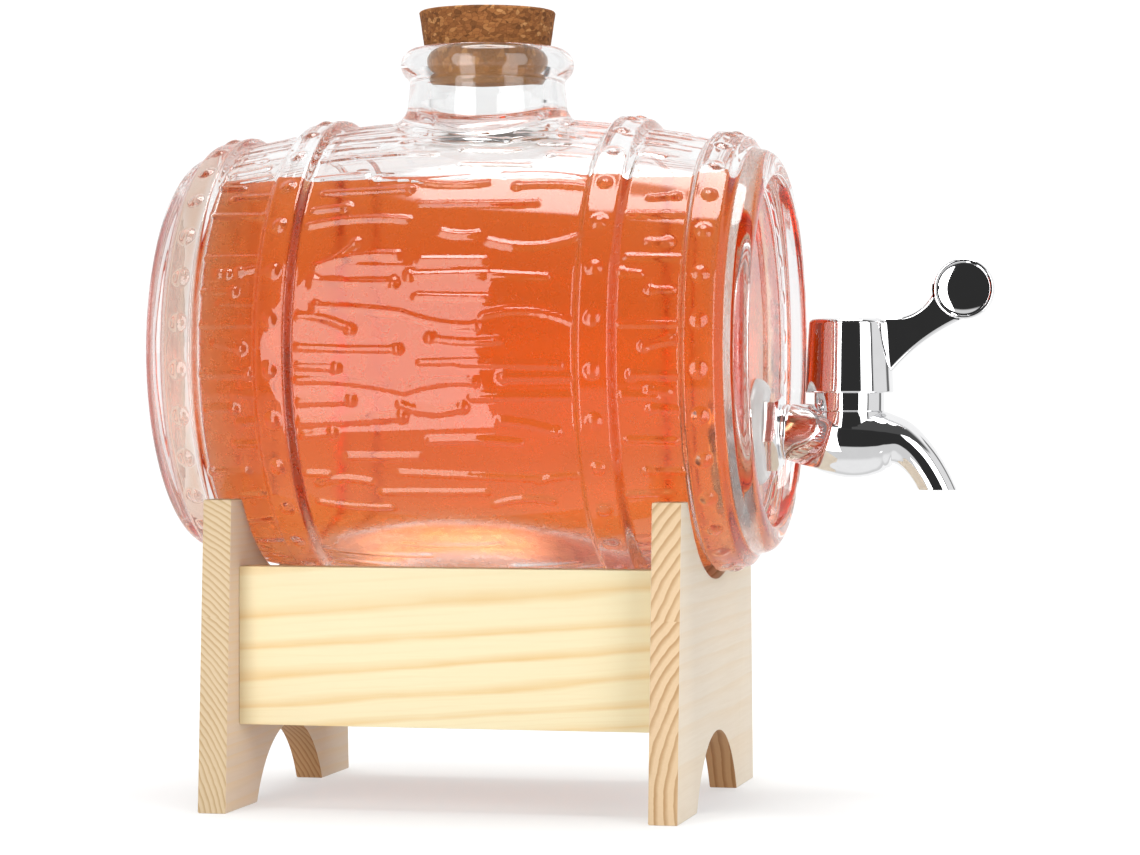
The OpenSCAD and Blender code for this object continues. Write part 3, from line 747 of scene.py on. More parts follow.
def board_outline():
    half_top, half_foot, high = 47.69, 52.19, 73.7
    tip, low = 39.29, 54.0
    sink = high - low
    cradle_r = (tip * tip + sink * sink) / (2 * sink)
    arch_half, arch_high = 27.5, 17.0
    arch_r = (arch_half ** 2 + arch_high ** 2) / (2 * arch_high)
    out = [(half_foot, 0.0), (half_top, high)]
    a = math.asin(tip / cradle_r)
    for t in np.linspace(a, -a, 41):
        out.append((cradle_r * math.sin(t), low + cradle_r - cradle_r * math.cos(t)))
    out += [(-half_top, high), (-half_foot, 0.0)]
    a = math.acos((arch_r - arch_high) / arch_r)
    for t in np.linspace(-a, a, 37):
        out.append((arch_r * math.sin(t), arch_high - arch_r + arch_r * math.cos(t)))
    return [(y, z - AXIS_Z) for y, z in out]


def stand_board(name, x):
    return make_object(name, *prism(board_outline(), x, x + BOARD_THICK, axis="X", bevel=0.35), 30)


def stand_rail(name, y):
    low, high = RAIL_LOW - AXIS_Z, RAIL_HIGH - AXIS_Z
    outline = [(-RAIL_HALF, low), (RAIL_HALF, low), (RAIL_HALF, high), (-RAIL_HALF, high)]
    return make_object(name, *prism(outline, y - RAIL_HALF_THICK, y + RAIL_HALF_THICK, bevel=0.3), 30)


# Tap

def outer_gasket():
    sleeve_r, dome_r, dome_round = 6.95, 10.0, 3.0
    profile = [(SHANK_R, HEAD_IN), (sleeve_r, HEAD_IN), (sleeve_r, HEAD_FACE)]
    profile += [(8.5, HEAD_FACE), (11.5, HEAD_FACE), (12.7, HEAD_FACE + 0.02)]
    profile += arc(dome_r, HEAD_FACE, dome_round, 4, 74, 14)
    profile += [(dome_r, NUT_IN_X), (8.0, NUT_IN_X), (SHANK_R, NUT_IN_X)]
    return lathe_object("gasket_dome", profile, 96, "X", TAP_AT)


def hex_nut():
    corner = 17 / math.sqrt(3)
    turn = math.radians(17.0)
    outline = []
    for k in range(6):
        a = -turn - k * math.pi / 3
        outline.append((corner * math.sin(a), -corner * math.cos(a) - TAP_DROP))
    nut = make_object("nut_hex", *prism(outline, NUT_IN_X, NUT_OUT_X, axis="X"), 20)
    back, front = 69.0, 73.45
    cone = [(0, back), (corner + 3.4, back), (corner + 3.0, NUT_IN_X)]
    cone += [(8.9, NUT_OUT_X), (8.2, front), (0, front)]
    turned_tool(nut, cone, 120, "X", TAP_AT, "INTERSECT")
    turned_tool(nut, rod(SHANK_R, 68, 75), 64, "X", TAP_AT)
    return finished(nut, 18)


def lock_ring():
    flat_r, edge = 6.3, 0.4
    profile = [(SHANK_R, NUT_OUT_X), (flat_r, NUT_OUT_X)]
    profile += arc(flat_r, NUT_OUT_X + edge, edge, -80, 0, 5) + arc(flat_r, RING_OUT_X - edge, edge, 0, 80, 5)
    profile += [(flat_r, RING_OUT_X), (SHANK_R, RING_OUT_X)]
    return lathe_object("ring_lock", profile, 96, "X", TAP_AT)


def spline(keys, t):
    """Smooth curve through equally spaced keys (Catmull-Rom)."""
    keys = np.asarray(keys, float)
    n = len(keys) - 1
    s = np.clip(t, 0, 1) * n
    i = np.minimum(s.astype(int), n - 1)
    f = (s - i)[:, None]
    p0 = keys[np.maximum(i - 1, 0)]
    p1, p2 = keys[i], keys[i + 1]
    p3 = keys[np.minimum(i + 2, n)]
    return 0.5 * (2 * p1 + (p2 - p0) * f + (2 * p0 - 5 * p1 + 4 * p2 - p3) * f ** 2
                  + (3 * p1 - p0 - 3 * p2 + p3) * f ** 3)


def swept(keys, steps, count):
    """Bar with flat ends along keys (x, z, half height, and a half width that differs) in the valve frame."""
    keys = np.asarray(keys, float)
    run = np.concatenate([[0], np.cumsum(np.hypot(*np.diff(keys[:, :2], axis=0).T))])
    even = np.linspace(0, run[-1], steps)
    path = spline(keys, np.interp(even, run, np.linspace(0, 1, len(keys))))
    way = np.gradient(path[:, :2], axis=0)
    way /= np.hypot(way[:, 0], way[:, 1])[:, None]
    turn = turns(count)
    rings = []
    for (x, z, r), wide, (dx, dz) in zip(path[:, :3], path[:, -1], way):
        side = np.stack([-dz * r * np.cos(turn), wide * np.sin(turn), dx * r * np.cos(turn)], 1)
        rings.append(side + np.array([x, 0, z]) + np.array(VALVE_AT))
    skin = Skin()
    first = skin.add(rings[0])
    last = skin.tube(rings[1:], first)
    return skin.points(), skin.faces + [first.tolist(), last.tolist()]


# Stations of the casting: x, z, half height, half width
SPOUT_KEYS = [
    (-14.6, 0.0, 6.75, 6.75), (-11.0, -0.45, 7.3, 7.3), (-7.0, -1.0, 8.0, 8.0), (-3.4, -1.6, 8.65, 8.6),
    (0.0, -2.0, 8.9, 8.8), (3.2, -2.1, 8.7, 8.5), (6.4, -2.05, 7.9, 7.9), (9.2, -2.0, 6.7, 7.2),
    (11.8, -2.35, 5.65, 6.5), (14.0, -3.6, 5.0, 5.9), (16.0, -5.4, 4.6, 5.4), (17.9, -7.7, 4.4, 5.0),
    (19.6, -10.4, 4.3, 4.7), (21.0, -13.2, 4.3, 4.5), (22.3, -16.2, 4.3, 4.4),
]
# Stations of its bore: x, z, radius
BORE_KEYS = [
    (2.4, -3.1, 2.9), (11.0, -2.6, 3.1), (15.6, -5.2, 3.25), (19.1, -9.4, 3.4), (21.6, -14.0, 3.45),
    (23.4, -18.0, 3.45),
]
MOUTH_Z = -13.7
COLLAR_R, COLLAR_TOP = 8.2, 5.0
SEAT_Z, SEAT_OUT_R = 2.45, 6.5


def tap_body():
    body = make_object("tap_casting", *swept(SPOUT_KEYS, 150, 96))
    collar = [(0, -4.0), (8.0, -4.0), (COLLAR_R, -3.0), (COLLAR_R, 4.75)]
    collar += arc(COLLAR_R - 0.25, 4.75, 0.25, 10, 90, 4) + [(0, COLLAR_TOP)]
    turned_tool(body, collar, 120, "Z", VALVE_AT, "UNION")
    turned_tool(body, rod(60, -60, MOUTH_Z), 48, "Z", VALVE_AT)
    boolean(body, make_object("tool_bore", *swept(BORE_KEYS, 60, 48)), "DIFFERENCE")
    room_r, room_low = 5.05, -9.1
    room = [(0, room_low), (room_r, room_low), (room_r, SEAT_Z)]
    room += [(SEAT_OUT_R, SEAT_Z), (SEAT_OUT_R, 9.0), (0, 9.0)]
    turned_tool(body, room, 96, "Z", VALVE_AT)
    shank_end, inlet_r = 81.0, 2.8
    shank = [(0, 70.0), (SHANK_R, 70.0), (SHANK_R, shank_end)]
    shank += [(inlet_r, shank_end), (inlet_r, 86.0), (0, 86.0)]
    turned_tool(body, shank, 72, "X", TAP_AT)
    return finished(body, 32)


def tap_bonnet():
    bore_r, top = 3.05, 10.7
    profile = [(bore_r, SEAT_Z), (SEAT_OUT_R, SEAT_Z), (SEAT_OUT_R, COLLAR_TOP), (COLLAR_R, COLLAR_TOP)]
    profile += arc(8.15, 5.25, 0.25, -60, 0, 3) + arc(8.0, top - 0.4, 0.4, 0, 85, 5)
    profile += [(7.4, top), (bore_r, top)]
    return lathe_object("bonnet_collar", profile, 120, "Z", VALVE_AT)


# Lever in the valve frame: circles (x, z, radius) of the arm's hollow upper and lower edges and of the disc
ARM_UPPER = (10.8, 37.9, 10.5)
ARM_LOWER = (47.2, -17.6, 49.0)
DISC_X, DISC_Z, DISC_R = 27.6, 34.25, 7.15


def arm_outline(inset, reach, start):
    """Outline from start along the upper edge, round the disc at radius reach, and back below."""
    up = arc(ARM_UPPER[0], ARM_UPPER[1], ARM_UPPER[2] + inset, -93, -8, 22)
    down = arc(ARM_LOWER[0], ARM_LOWER[1], ARM_LOWER[2] + inset, 142.5, 113.2, 26)
    up, down = ([(x, z) for x, z in edge if x > start and math.hypot(x - DISC_X, z - DISC_Z) > reach]
                for edge in (up, down))
    first, last = (math.degrees(math.atan2(z - DISC_Z, x - DISC_X)) % 360 for x, z in (up[-1], down[-1]))
    tip = arc(DISC_X, DISC_Z, reach, first, last, 12)[1:-1]
    out = [(start, up[0][1])] + up + tip + down[::-1] + [(start, down[0][1])]
    return [(VALVE_X + x, z - TAP_DROP) for x, z in out]


def thumb_disc():
    """Round plate whose nearly flat faces fall away towards a raised rim."""
    inner_r, flat_r, face = DISC_R - 1.1, 3.0, 1.9
    mid_slope, edge_slope = 0.044, 0.21
    half = []
    for r in np.linspace(0, inner_r, 24):
        fall = mid_slope * r * r / (2 * inner_r)
        fall += edge_slope * max(0.0, r - flat_r) ** 2 / (2 * (inner_r - flat_r))
        half.append((r, face - fall))
    half += [(inner_r + 0.15, 1.45), (inner_r + 0.3, 2.1), (DISC_R - 0.6, 2.3), (DISC_R - 0.5, 2.3)]
    half += arc(DISC_R - 0.4, face, 0.4, 80, 0, 5)
    profile = half + [(r, -a) for r, a in half[::-1]]
    return lathe_object("tool_disc", profile, 96, "Y", (VALVE_X + DISC_X, 0, DISC_Z - TAP_DROP))


def tap_lever():
    top, low, round_r = 27.2, 9.5, 1.3
    profile = [(0, 12.1), (9.2, 12.1), (9.2, 9.7), (9.4, low), (10.1, low)]
    profile += arc(10.2, 9.9, 0.4, -70, 3, 5)
    profile += [(10.45, 12.5), (9.95, 22.0)]
    profile += arc(9.7 - round_r, top - round_r, round_r, 3, 88, 9) + [(0, top)]
    lever = lathe_object("lever_cap", profile, 144, "Z", VALVE_AT)
    turned_tool(lever, rod(3.0, 11.0, 22.5), 48, "Z", VALVE_AT)
    key = [(2.1, 11.9), (4.0, 11.9), (4.0, 22.9), (2.1, 22.9)]
    key = [(VALVE_X + x, z - TAP_DROP) for x, z in key]
    boolean(lever, make_object("tool_key", *prism(key, -3.4, 3.4)), "UNION")

    # arm that runs into the disc, with a pocket in both faces
    arm_half, web_half, past = 2.0, 1.3, 3.0
    arm = prism(arm_outline(0.0, DISC_R - 0.45, 6.0), -arm_half, arm_half, bevel=0.8, segments=5)
    boolean(lever, make_object("tool_arm", *arm), "UNION")
    boolean(lever, thumb_disc(), "UNION")
    pocket = arm_outline(0.95, DISC_R + 0.2, 11.4)
    for side in (-1, 1):
        boolean(lever, make_object("tool_pocket", *prism(pocket, side * web_half, side * past)), "DIFFERENCE")
    return finished(lever, 30)


# Materials

def grey(level):
    return level, level, level


class Nodes:
    """Short ways to add nodes to a node tree."""

    def __init__(self, tree):
        self.tree = tree

    def node(self, kind, given=(), **props):
        """New node with some properties, and with some of its sockets given a value."""
        n = self.tree.nodes.new(kind)
        for key, value in props.items():
            setattr(n, key, value)
        for key, value in dict(given).items():
            self.give(n.inputs[key], value)
        return n

    def give(self, socket, value):
        """Links a socket to an output, or sets it to a number, a vector or a colour."""
        if isinstance(value, bpy.types.NodeSocket):
            self.tree.links.new(value, socket)
        elif socket.type == "RGBA":
            socket.default_value = (*value, 1)
        else:
            socket.default_value = value

    def math(self, operation, *values):
        return self.node("ShaderNodeMath", enumerate(values), operation=operation).outputs[0]

    def split(self, vector):
        """The x, y and z outputs of a vector."""
        return self.node("ShaderNodeSeparateXYZ", {0: vector}).outputs

    def spread(self, value, start, end, low=0.0, high=1.0, **props):
        """Value between start and end, carried over to low and high."""
        given = {"Value": value, "From Min": start, "From Max": end, "To Min": low, "To Max": high}
        return self.node("ShaderNodeMapRange", given, **props).outputs["Result"]

    def ramp(self, factor, stops):
        """Colours at places from 0 to 1."""
        n = self.node("ShaderNodeValToRGB", {"Fac": factor})
        while len(n.color_ramp.elements) < len(stops):
            n.color_ramp.elements.new(0.5)
        for e, (position, colour) in zip(n.color_ramp.elements, stops):
            e.position = position
            e.color = (*colour, 1)
        return n.outputs["Color"]

    def levels(self, factor, *stops):
        """Ramp of greys."""
        return self.ramp(factor, [(position, grey(level)) for position, level in stops])


class Mat(Nodes):
    """A node material with its Principled shader."""

    def __init__(self, name):
        self.mat = bpy.data.materials.new(name)
        self.mat.use_nodes = True
        super().__init__(self.mat.node_tree)
        self.bsdf = self.tree.nodes["Principled BSDF"]
        self.coord = self.node("ShaderNodeTexCoord")

    def set(self, **values):
        for key, value in values.items():
            self.give(self.bsdf.inputs[key.replace("_", " ")], value)

    def place(self, scale=(1, 1, 1), shift=(0, 0, 0)):
        given = {"Vector": self.coord.outputs["Object"], "Scale": scale, "Location": shift}
        return self.node("ShaderNodeMapping", given).outputs["Vector"]

    def noise(self, vector, scale, detail, rough=0.5):
        given = {"Vector": vector, "Scale": scale, "Detail": detail, "Roughness": rough}
        return self.node("ShaderNodeTexNoise", given).outputs["Fac"]

    def mix(self, factor, a, b):
        return self.node("ShaderNodeMix", {0: factor, 6: a, 7: b}, data_type="RGBA").outputs[2]

    def remap(self, factor, low, high):
        return self.spread(factor, 0.0, 1.0, low, high)

    def cloudy(self, factor, dark, light):
        """Tone that drifts from dark to light with a noise."""
        return self.ramp(factor, [(0.3, dark), (0.7, light)])

    def facing(self):
        """The x, y and z outputs of the direction that a face looks in."""
        return self.split(self.node("ShaderNodeNewGeometry").outputs["True Normal"])

    def bare_wood(self, colour, fibre):
        """Sanded wood: colour, roughness and fine fibre relief."""
        self.set(Base_Color=colour, Roughness=self.remap(fibre, 0.5, 0.68), Specular_IOR_Level=0.25)
        self.bump(fibre, 0.0001, 0.5)

    def bump(self, height, distance, strength):
        given = {"Height": height, "Distance": distance, "Strength": strength}
        self.set(Normal=self.node("ShaderNodeBump", given).outputs["Normal"])


PALE = (0.79, 0.70, 0.465)
TAN = (0.70, 0.46, 0.19)
END_PALE = (0.70, 0.52, 0.33)
END_LINE = (0.40, 0.22, 0.085)
FACE_PALE = (0.76, 0.68, 0.56)
FACE_WARM = (0.80, 0.62, 0.48)
# Painted shade: darker tones for the cut faces inside the arch, under the board, and the size of that region
ARCH_SHADE_PALE = (0.40, 0.22, 0.10)
ARCH_SHADE_LINE = (0.27, 0.125, 0.045)
ARCH_SHADE_HALF, ARCH_SHADE_HIGH = 0.0405, 0.03


def pine_rail():
    """Flat sawn pine: soft growth lines that rise a little to the right and crowd towards the lower edge."""
    m = Mat("pine_rail")
    sway = m.noise(m.place(scale=(0.05, 1, 1)), 60, 3)
    ripple = m.noise(m.place(scale=(0.25, 1, 1)), 160, 2)
    x, _, z = m.split(m.place())
    rise, sway_size, ripple_size = -0.085, 0.009, 0.0016
    height = m.math("MULTIPLY_ADD", x, rise, z)
    height = m.math("MULTIPLY_ADD", sway, sway_size, height)
    height = m.math("MULTIPLY_ADD", ripple, ripple_size, height)
    first_line, last_line = 0.0675, 0.0250
    down = m.spread(height, first_line, last_line, clamp=False)
    grown = m.math("MULTIPLY", m.math("MULTIPLY_ADD", down, 3.1, 2.9), down)
    ring = m.levels(m.math("FRACT", grown), (0.0, 0), (0.55, 0), (0.86, 1), (0.91, 0.7), (1.0, 0))
    fine = m.math("FRACT", m.math("MULTIPLY", grown, 3.4))
    fine = m.levels(fine, (0.0, 0), (0.6, 0), (0.85, 1), (1.0, 0))
    fibre = m.noise(m.place(scale=(0.02, 1, 1)), 1500, 2, 0.6)
    patchy = m.noise(m.place(scale=(0.5, 1, 1.2), shift=(0.3, 0, 0.1)), 45, 3, 0.6)
    strength = m.math("MULTIPLY", ring, m.remap(patchy, 0.0, 1.15))
    strength = m.math("MULTIPLY_ADD", fine, m.remap(patchy, 0.28, -0.14), strength)
    colour = m.mix(strength, PALE, TAN)
    colour = m.mix(m.remap(fibre, 0.0, 0.16), colour, TAN)
    m.bare_wood(colour, fibre)
    return m.mat


def pine_board(name, pith, joint, upper_pith, period, line_tone,
               pale=END_PALE, broad_tone=FACE_PALE, lined=0.16):
    """Pine with the grain across the stand: end grain rings on the narrow edges, pale broad faces.

    The board is glued from two staves that meet at the height joint, each with a pith (x, z) of its own."""
    m = Mat(name)
    wobble = m.noise(m.place(scale=(1, 0.1, 1)), 140, 3)
    x, y, z = m.split(m.place())
    above = m.math("GREATER_THAN", z, joint)

    def ring_distance(centre):
        dx = m.math("SUBTRACT", x, centre[0])
        dz = m.math("SUBTRACT", z, centre[1])
        return m.math("SQRT", m.math("MULTIPLY_ADD", dx, dx, m.math("MULTIPLY", dz, dz)))

    low = m.math("MULTIPLY", m.math("SUBTRACT", 1.0, above), ring_distance(pith))
    dist = m.math("MULTIPLY_ADD", above, ring_distance(upper_pith), low)
    dist = m.math("MULTIPLY_ADD", wobble, 0.0016, dist)
    line = m.math("FRACT", m.math("DIVIDE", dist, period))
    ring = m.levels(line, (0.0, 0), (0.45, 0.08), (0.82, 1), (0.93, 1), (1.0, 0))
    broad = m.math("GREATER_THAN", m.math("ABSOLUTE", m.facing()["X"]), 0.6)
    fibre = m.noise(m.place(scale=(1, 0.03, 1)), 1300, 2, 0.6)
    soft = m.noise(m.place(scale=(1, 0.12, 1)), 60, 3)
    end = m.mix(m.math("MULTIPLY", ring, m.remap(soft, 0.45, 1.0)), pale, line_tone)
    # painted shade on the cut faces inside the arch
    arch_shade = m.math("LESS_THAN", m.math("ABSOLUTE", y), ARCH_SHADE_HALF)
    arch_shade = m.math("MULTIPLY", arch_shade, m.math("LESS_THAN", z, ARCH_SHADE_HIGH))
    end = m.mix(arch_shade, end, m.mix(ring, ARCH_SHADE_PALE, ARCH_SHADE_LINE))
    face = m.mix(m.math("MULTIPLY", ring, lined), broad_tone, TAN)
    face = m.mix(m.remap(soft, 0.0, 0.22), face, FACE_WARM)
    colour = m.mix(broad, end, face)
    colour = m.mix(m.remap(fibre, 0.0, 0.14), colour, line_tone)
    m.bare_wood(colour, fibre)
    return m.mat


GLASS_INDEX = 1.5
GLASS_TONE = (0.985, 0.99, 0.99)
# Tint along the barrel, 0 at the rear and 1 at the front: the thick rear head shows some of the drink, put in
# as a peach band of painted reflection in the glass colour
GLASS_TINT_AND_PAINTED_DRINK = [
    (0.0, (0.98, 0.965, 0.965)), (0.034, (0.965, 0.93, 0.925)), (0.044, (0.80, 0.64, 0.55)),
    (0.08, (0.82, 0.62, 0.50)), (0.09, GLASS_TONE), (1.0, GLASS_TONE),
]
CLEAR_BLUR, WETTED_BLUR = 0.004, 0.28


def clear_glass(name, index, blur):
    m = Mat(name)
    at = m.place()
    along = m.spread(m.split(at)["X"], (MID_X - BODY_HALF) * 0.001, (MID_X + BODY_HALF) * 0.001)
    m.bump(m.noise(at, 120, 2, 0.4), 0.0001, 0.12)
    rough = m.remap(m.noise(at, 300, 3, 0.6), 0.0, blur * 2)
    # the glass colour carries a painted reflection of the drink at the rear head
    m.set(Base_Color=m.ramp(along, GLASS_TINT_AND_PAINTED_DRINK), Roughness=rough, IOR=index, Transmission_Weight=1.0)
    return m.mat


DRINK_CLEAR = (0.938, 0.469, 0.003)
DRINK_DENSITY = 37.0
DRINK_INDEX = 1.33


def drink_liquid(name):
    """Clear drink whose colour deepens with its depth; its sides leave the bending to the wetted glass."""
    m = Mat(name)
    m.set(IOR=DRINK_INDEX, Roughness=0.0, Transmission_Weight=1.0)
    level = m.math("GREATER_THAN", m.math("ABSOLUTE", m.facing()["Z"]), 0.99)
    cloud = m.noise(m.place(scale=(1, 1, 1.6)), 26, 3)
    m.set(IOR=m.math("MULTIPLY_ADD", level, DRINK_INDEX - 1.0, 1.0),
          Base_Color=m.cloudy(cloud, (0.99, 0.90, 0.82), (1.0, 0.92, 0.85)))
    depth = m.node("ShaderNodeVolumeAbsorption", {"Color": DRINK_CLEAR, "Density": DRINK_DENSITY})
    m.give(m.tree.nodes["Material Output"].inputs["Volume"], depth.outputs[0])
    return m.mat


def chrome(name, tone):
    m = Mat(name)
    smear = m.noise(m.place(), 260, 3, 0.6)
    colour = m.cloudy(smear, (tone, tone, tone * 1.01), (tone * 1.04, tone * 1.04, tone * 1.05))
    m.set(Base_Color=colour, Metallic=1.0, Roughness=m.remap(smear, 0.015, 0.055))
    return m.mat


# Cork granules from dark to pale, the joints between them, and the painted light on the lower end of the
# cork, inside the glass neck
CORK_TONES = [
    (0.0, (0.085, 0.027, 0.007)), (0.14, (0.18, 0.06, 0.015)), (0.55, (0.28, 0.098, 0.025)),
    (0.85, (0.38, 0.15, 0.043)), (1.0, (0.58, 0.29, 0.105)),
]
CORK_DUST = (0.30, 0.13, 0.05)
CORK_JOINT = (0.075, 0.028, 0.010)
CORK_PAINTED_LIGHT = (0.74, 0.38, 0.14)
GRANULES = 760


def cork_material():
    m = Mat("pressed_cork")
    at = m.place()

    def vector(operation, *values):
        return m.node("ShaderNodeVectorMath", enumerate(values), operation=operation).outputs[0]

    def granules(output, feature):
        given = {"Vector": squashed, "Scale": GRANULES}
        return m.node("ShaderNodeTexVoronoi", given, feature=feature).outputs[output]

    shifted = vector("MULTIPLY_ADD", m.noise(at, 420, 3, 0.6), grey(0.0016), at)
    squashed = vector("MULTIPLY", shifted, (1, 1, 1.7))
    gap = granules("Distance", "DISTANCE_TO_EDGE")
    each = m.node("ShaderNodeSeparateColor", {0: granules("Color", "F1")})
    grain = m.noise(at, 2600, 3, 0.7)
    tone = m.mix(m.remap(grain, 0.0, 0.5), m.ramp(each.outputs[0], CORK_TONES), CORK_DUST)
    tone = m.mix(m.levels(gap, (0.0, 0.6), (0.08, 0.0)), tone, CORK_JOINT)
    # painted light: the cork grows lighter towards its lower end, where it sits in the glass neck
    painted_light_top, painted_light_low = (AXIS_Z + NECK_TOP + 2.0) * 0.001, (AXIS_Z + CORK_LOW) * 0.001
    tone = m.mix(m.spread(m.split(at)["Z"], painted_light_top, painted_light_low, 0.0, 0.55), tone, CORK_PAINTED_LIGHT)
    m.set(Base_Color=tone, Roughness=0.85, Specular_IOR_Level=0.2)
    m.bump(m.mix(0.4, gap, grain), 0.0005, 0.8)
    return m.mat


def silicone(name, colour, clear):
    # The faint warm emission is a painted glow: the silicone glows though it is no lamp.
    m = Mat(name)
    cloud = m.noise(m.place(), 400, 2)
    m.set(Base_Color=m.cloudy(cloud, tuple(c * 0.95 for c in colour), colour), IOR=1.41,
          Roughness=m.remap(cloud, 0.14, 0.24), Transmission_Weight=clear,
          Emission_Color=(1.0, 0.9, 0.86), Emission_Strength=0.1)
    return m.mat


def plain(name, dark, light, rough, metal=0.0, scale=500):
    m = Mat(name)
    cloud = m.noise(m.place(), scale, 4, 0.6)
    m.set(Base_Color=m.cloudy(cloud, dark, light), Metallic=metal,
          Roughness=m.remap(cloud, rough * 0.8, rough * 1.2))
    m.bump(cloud, 0.00004, 0.5)
    return m.mat


def dress(obj, *materials):
    if obj.data.materials:
        obj.data.materials.clear()
    for material in materials:
        obj.data.materials.append(material)


def piece(obj, materials, body, slot, *replaced):
    dress(obj, *materials)
    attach(obj, body)
    if replaced:
        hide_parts(*replaced)


# Put the pieces together

glass = [clear_glass("clear_glass", GLASS_INDEX, CLEAR_BLUR),
         clear_glass("wetted_glass", GLASS_INDEX / DRINK_INDEX, WETTED_BLUR)]
metal = [chrome("chrome_plate", 0.86)]
rail_pine = [pine_rail()]
front_pine = [pine_board("pine_front_board", pith=(0.078, 0.004), joint=0.0465, upper_pith=(0.092, 0.018),
                         period=0.0023, line_tone=END_LINE)]
rear_pine = [pine_board("pine_rear_board", pith=(-0.128, -0.012), joint=0.046, upper_pith=(-0.122, 0.002),
                        period=0.0013, line_tone=(0.40, 0.255, 0.11), pale=(0.60, 0.47, 0.31),
                        broad_tone=(0.63, 0.50, 0.39), lined=0.3)]
seal = [silicone("clear_silicone", grey(0.72), 0.5)]

piece(glass_barrel(), glass, "vessel", "clear_glass", "glass_barrel")
piece(drink(), [drink_liquid("orange_drink")], "vessel", "drink")
piece(cork(), [cork_material()], "cork", "cork", "cork_stopper")
piece(stand_board("board_front", FRONT_BOARD_X), front_pine, "stand", "pine", "stand_front_board")
piece(stand_board("board_rear", REAR_BOARD_X), rear_pine, "stand", "pine", "stand_rear_board")
piece(stand_rail("rail_near", -RAIL_Y), rail_pine, "stand", "pine", "stand_near_rail")
piece(stand_rail("rail_far", RAIL_Y), rail_pine, "stand", "pine", "stand_far_rail")
piece(outer_gasket(), seal, "vessel", "silicone", "shank_outer_gasket")
piece(hex_nut(), metal, "vessel", "chrome", "shank_hex_nut")
piece(lock_ring(), metal, "vessel", "chrome", "tap_lock_ring")
piece(tap_body(), metal, "vessel", "chrome", "tap_body")
piece(tap_bonnet(), metal, "vessel", "chrome", "tap_bonnet")
piece(tap_lever(), metal, "lever", "chrome", "tap_lever")

# Hidden and inner solids keep their own shape
dress(nodes["tap_shank"], chrome("shank_steel", 0.72))
dress(nodes["shank_inner_gasket"], silicone("inner_silicone", (0.90, 0.34, 0.14), 0.2))
dress(nodes["stand_dowels"], plain("dowel_beech", (0.50, 0.33, 0.17), (0.66, 0.47, 0.27), 0.7, scale=900))
dress(nodes["valve_plug"], plain("plug_brass", (0.62, 0.43, 0.17), (0.74, 0.55, 0.25), 0.28, metal=1.0))
dress(nodes["plug_o_rings"], plain("black_rubber", grey(0.012), grey(0.03), 0.55))
dress(nodes["plug_thrust_washer"], plain("white_plastic", (0.80, 0.80, 0.77), (0.87, 0.87, 0.85), 0.35))


# Stage: floor, light and camera

def floor():
    mesh = bpy.data.meshes.new("floor")
    half = 6.0
    corners = [(-half, -half, 0), (half, -half, 0), (half, half, 0), (-half, half, 0)]
    mesh.from_pydata(corners, [], [(0, 1, 2, 3)])
    obj = new_object("floor", mesh)
    m = Mat("pale_floor")
    m.set(Base_Color=m.cloudy(m.noise(m.place(), 3, 2), grey(0.39), grey(0.41)), Roughness=0.9,
          Specular_IOR_Level=0.0, Emission_Color=grey(1), Emission_Strength=0.5)
    mesh.materials.append(m.mat)
    obj.visible_glossy = False


SOFT_BOX = 4.6
BACKDROP = 1.0
CAMERA_WHITE = 1.05
NEAR_FLOOR = 0.9
FAR_FLOOR = 0.7
DARK_ABOVE = 0.08
OVERHEAD = 1.2
GLASS_FILL = 0.2
STRIP_LIGHT = 10.0
STRIP_WITHIN = 4.5
# Brightness round the horizon: degrees from straight in front, positive towards the tap
HORIZON = [
    (-180, BACKDROP), (-112, BACKDROP), (-100, 0.5), (-60, 0.3), (-36, 0.15), (-24, 0.03),
    (-9.5, 0.03), (38, 0.03), (40, 4.2), (67, 4.2), (69, 0.08), (73, 0.08), (75, 0.8), (122, 0.8),
    (126, 0.15), (134, 0.15), (140, BACKDROP), (180, BACKDROP),
]
HORIZON_TOP = 6.0


class Sky(Nodes):
    """The world's nodes."""

    def step(self, value, low, high):
        """Rises from 0 to 1 between low and high, or falls when low is the larger."""
        return self.spread(value, low, high, interpolation_type="SMOOTHSTEP")

    def blend(self, factor, a, b):
        keep = self.math("MULTIPLY", self.math("SUBTRACT", 1.0, factor), a)
        return self.math("MULTIPLY_ADD", factor, b, keep)

    def background(self, strength):
        return self.node("ShaderNodeBackground", {"Color": grey(1), "Strength": strength}).outputs[0]


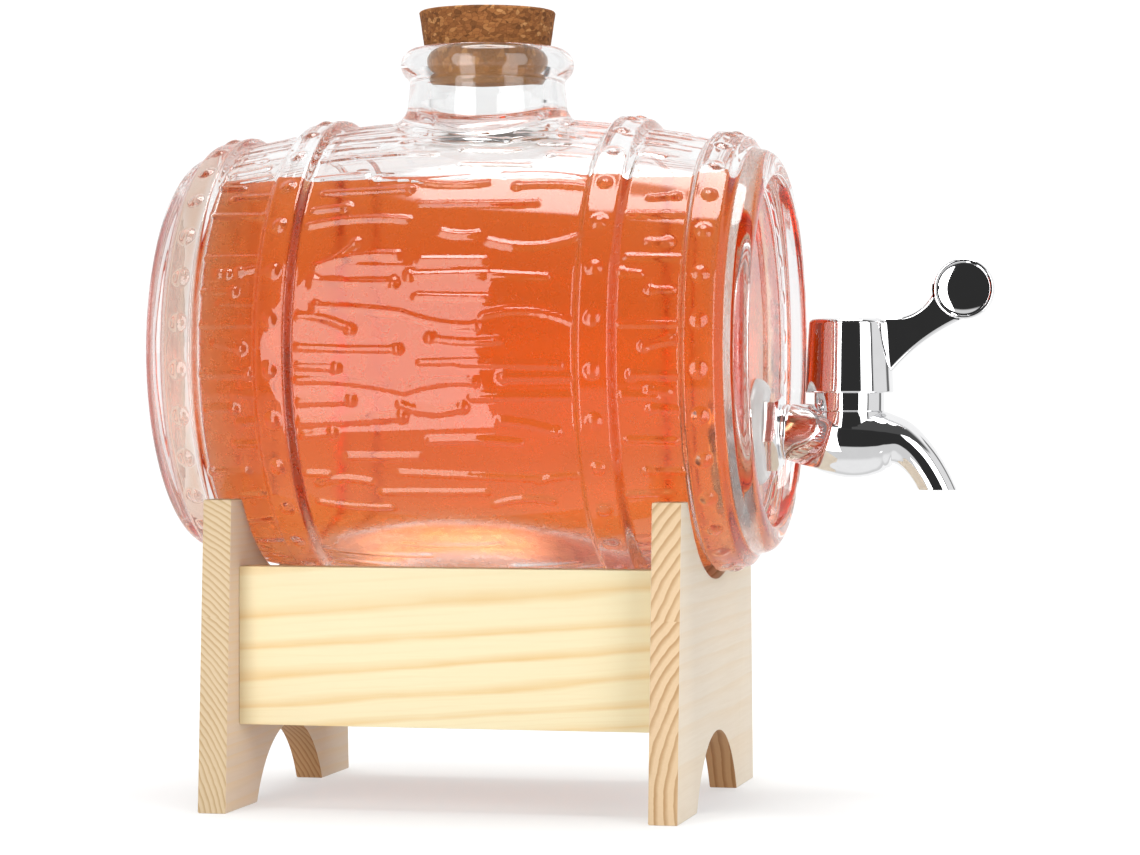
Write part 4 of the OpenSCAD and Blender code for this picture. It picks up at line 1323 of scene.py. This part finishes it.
def studio():
    """Bright back, tall soft light on the tap's side of the camera, darkness in front, a light overhead."""
    world = bpy.data.worlds.new("studio")
    bpy.context.scene.world = world
    world.use_nodes = True
    world.node_tree.nodes.clear()
    sky = Sky(world.node_tree)
    x, y, z = sky.split(sky.node("ShaderNodeTexCoord").outputs["Generated"])
    azimuth = sky.math("ARCTAN2", x, sky.math("MULTIPLY", y, -1.0))
    turn = sky.math("MULTIPLY_ADD", azimuth, 0.5 / math.pi, 0.5)
    around = sky.levels(turn, *(((deg + 180) / 360, level / HORIZON_TOP) for deg, level in HORIZON))
    ring = sky.math("MULTIPLY", around, HORIZON_TOP)
    # below the horizon
    ground = sky.math("MULTIPLY_ADD", sky.step(z, -0.8, -0.92), NEAR_FLOOR - FAR_FLOOR, FAR_FLOOR)
    ring = sky.math("MAXIMUM", ring, sky.math("MULTIPLY", sky.step(z, -0.28, -0.35), ground))
    level = sky.blend(sky.step(z, -0.66, -0.72), ring, ground)
    # above it: dark in front, bright behind, and the light overhead with its strip
    above = sky.blend(sky.step(y, 0.0, 0.35), DARK_ABOVE, BACKDROP)
    level = sky.blend(sky.step(z, 0.56, 0.61), level, above)
    level = sky.blend(sky.step(z, 0.93, 0.96), level, OVERHEAD)
    strip = sky.math("MULTIPLY", sky.step(z, 0.935, 0.95), sky.step(z, 0.999, 0.992))
    strip = sky.math("MULTIPLY", strip, sky.step(x, -0.33, -0.27))
    path = sky.node("ShaderNodeLightPath")
    within = sky.math("GREATER_THAN", path.outputs["Transmission Depth"], 0.5)
    level = sky.blend(strip, level, sky.blend(within, STRIP_LIGHT, STRIP_WITHIN))
    level = sky.math("MAXIMUM", level, sky.math("MULTIPLY", within, GLASS_FILL))
    seen = {0: path.outputs["Is Camera Ray"], 1: sky.background(level), 2: sky.background(CAMERA_WHITE)}
    choose = sky.node("ShaderNodeMixShader", seen)
    sky.node("ShaderNodeOutputWorld", {"Surface": choose.outputs[0]})


def stand_at(obj, right, up, back, place):
    """Turns an object to these axes, at a place in the barrel frame."""
    where = to_model([place])[0]
    rows = [(right[k], up[k], back[k], where[k]) for k in range(3)]
    obj.matrix_world = Matrix((*rows, (0, 0, 0, 1)))


def soft_box():
    """Tall soft box left of the camera, mirrored in the glass and in the tap."""
    near, far = np.array([-85.0, -649.0]), np.array([-373.0, -556.0])
    low, high = -470.0, 520.0
    wide = float(np.hypot(*(near - far)))
    data = bpy.data.lights.new("left_soft_box", "AREA")
    data.shape = "RECTANGLE"
    data.size = wide * 0.001
    data.size_y = (high - low) * 0.001
    data.energy = SOFT_BOX * math.pi * data.size * data.size_y
    obj = new_object("left_soft_box", data)
    across = (near - far) / wide
    middle = (near + far) / 2
    stand_at(obj, (*across, 0), (0, 0, 1), (across[1], -across[0], 0), (*middle, (low + high) / 2))


def camera():
    place, right, up, ahead = camera_axes()
    data = bpy.data.cameras.new("camera")
    data.sensor_width = SENSOR
    data.lens = FOCAL_PX / PHOTO_W * SENSOR
    data.clip_start = 0.01
    data.clip_end = 50.0
    obj = new_object("camera", data)
    stand_at(obj, right, up, -ahead, place)
    bpy.context.scene.camera = obj


floor()
studio()
soft_box()
camera()
view = bpy.context.scene.view_settings
view.view_transform = "Standard"
view.look = "None"
bounces = bpy.context.scene.cycles
bounces.max_bounces = 32
bounces.transmission_bounces = 26
bounces.glossy_bounces = 24
bounces.diffuse_bounces = 4
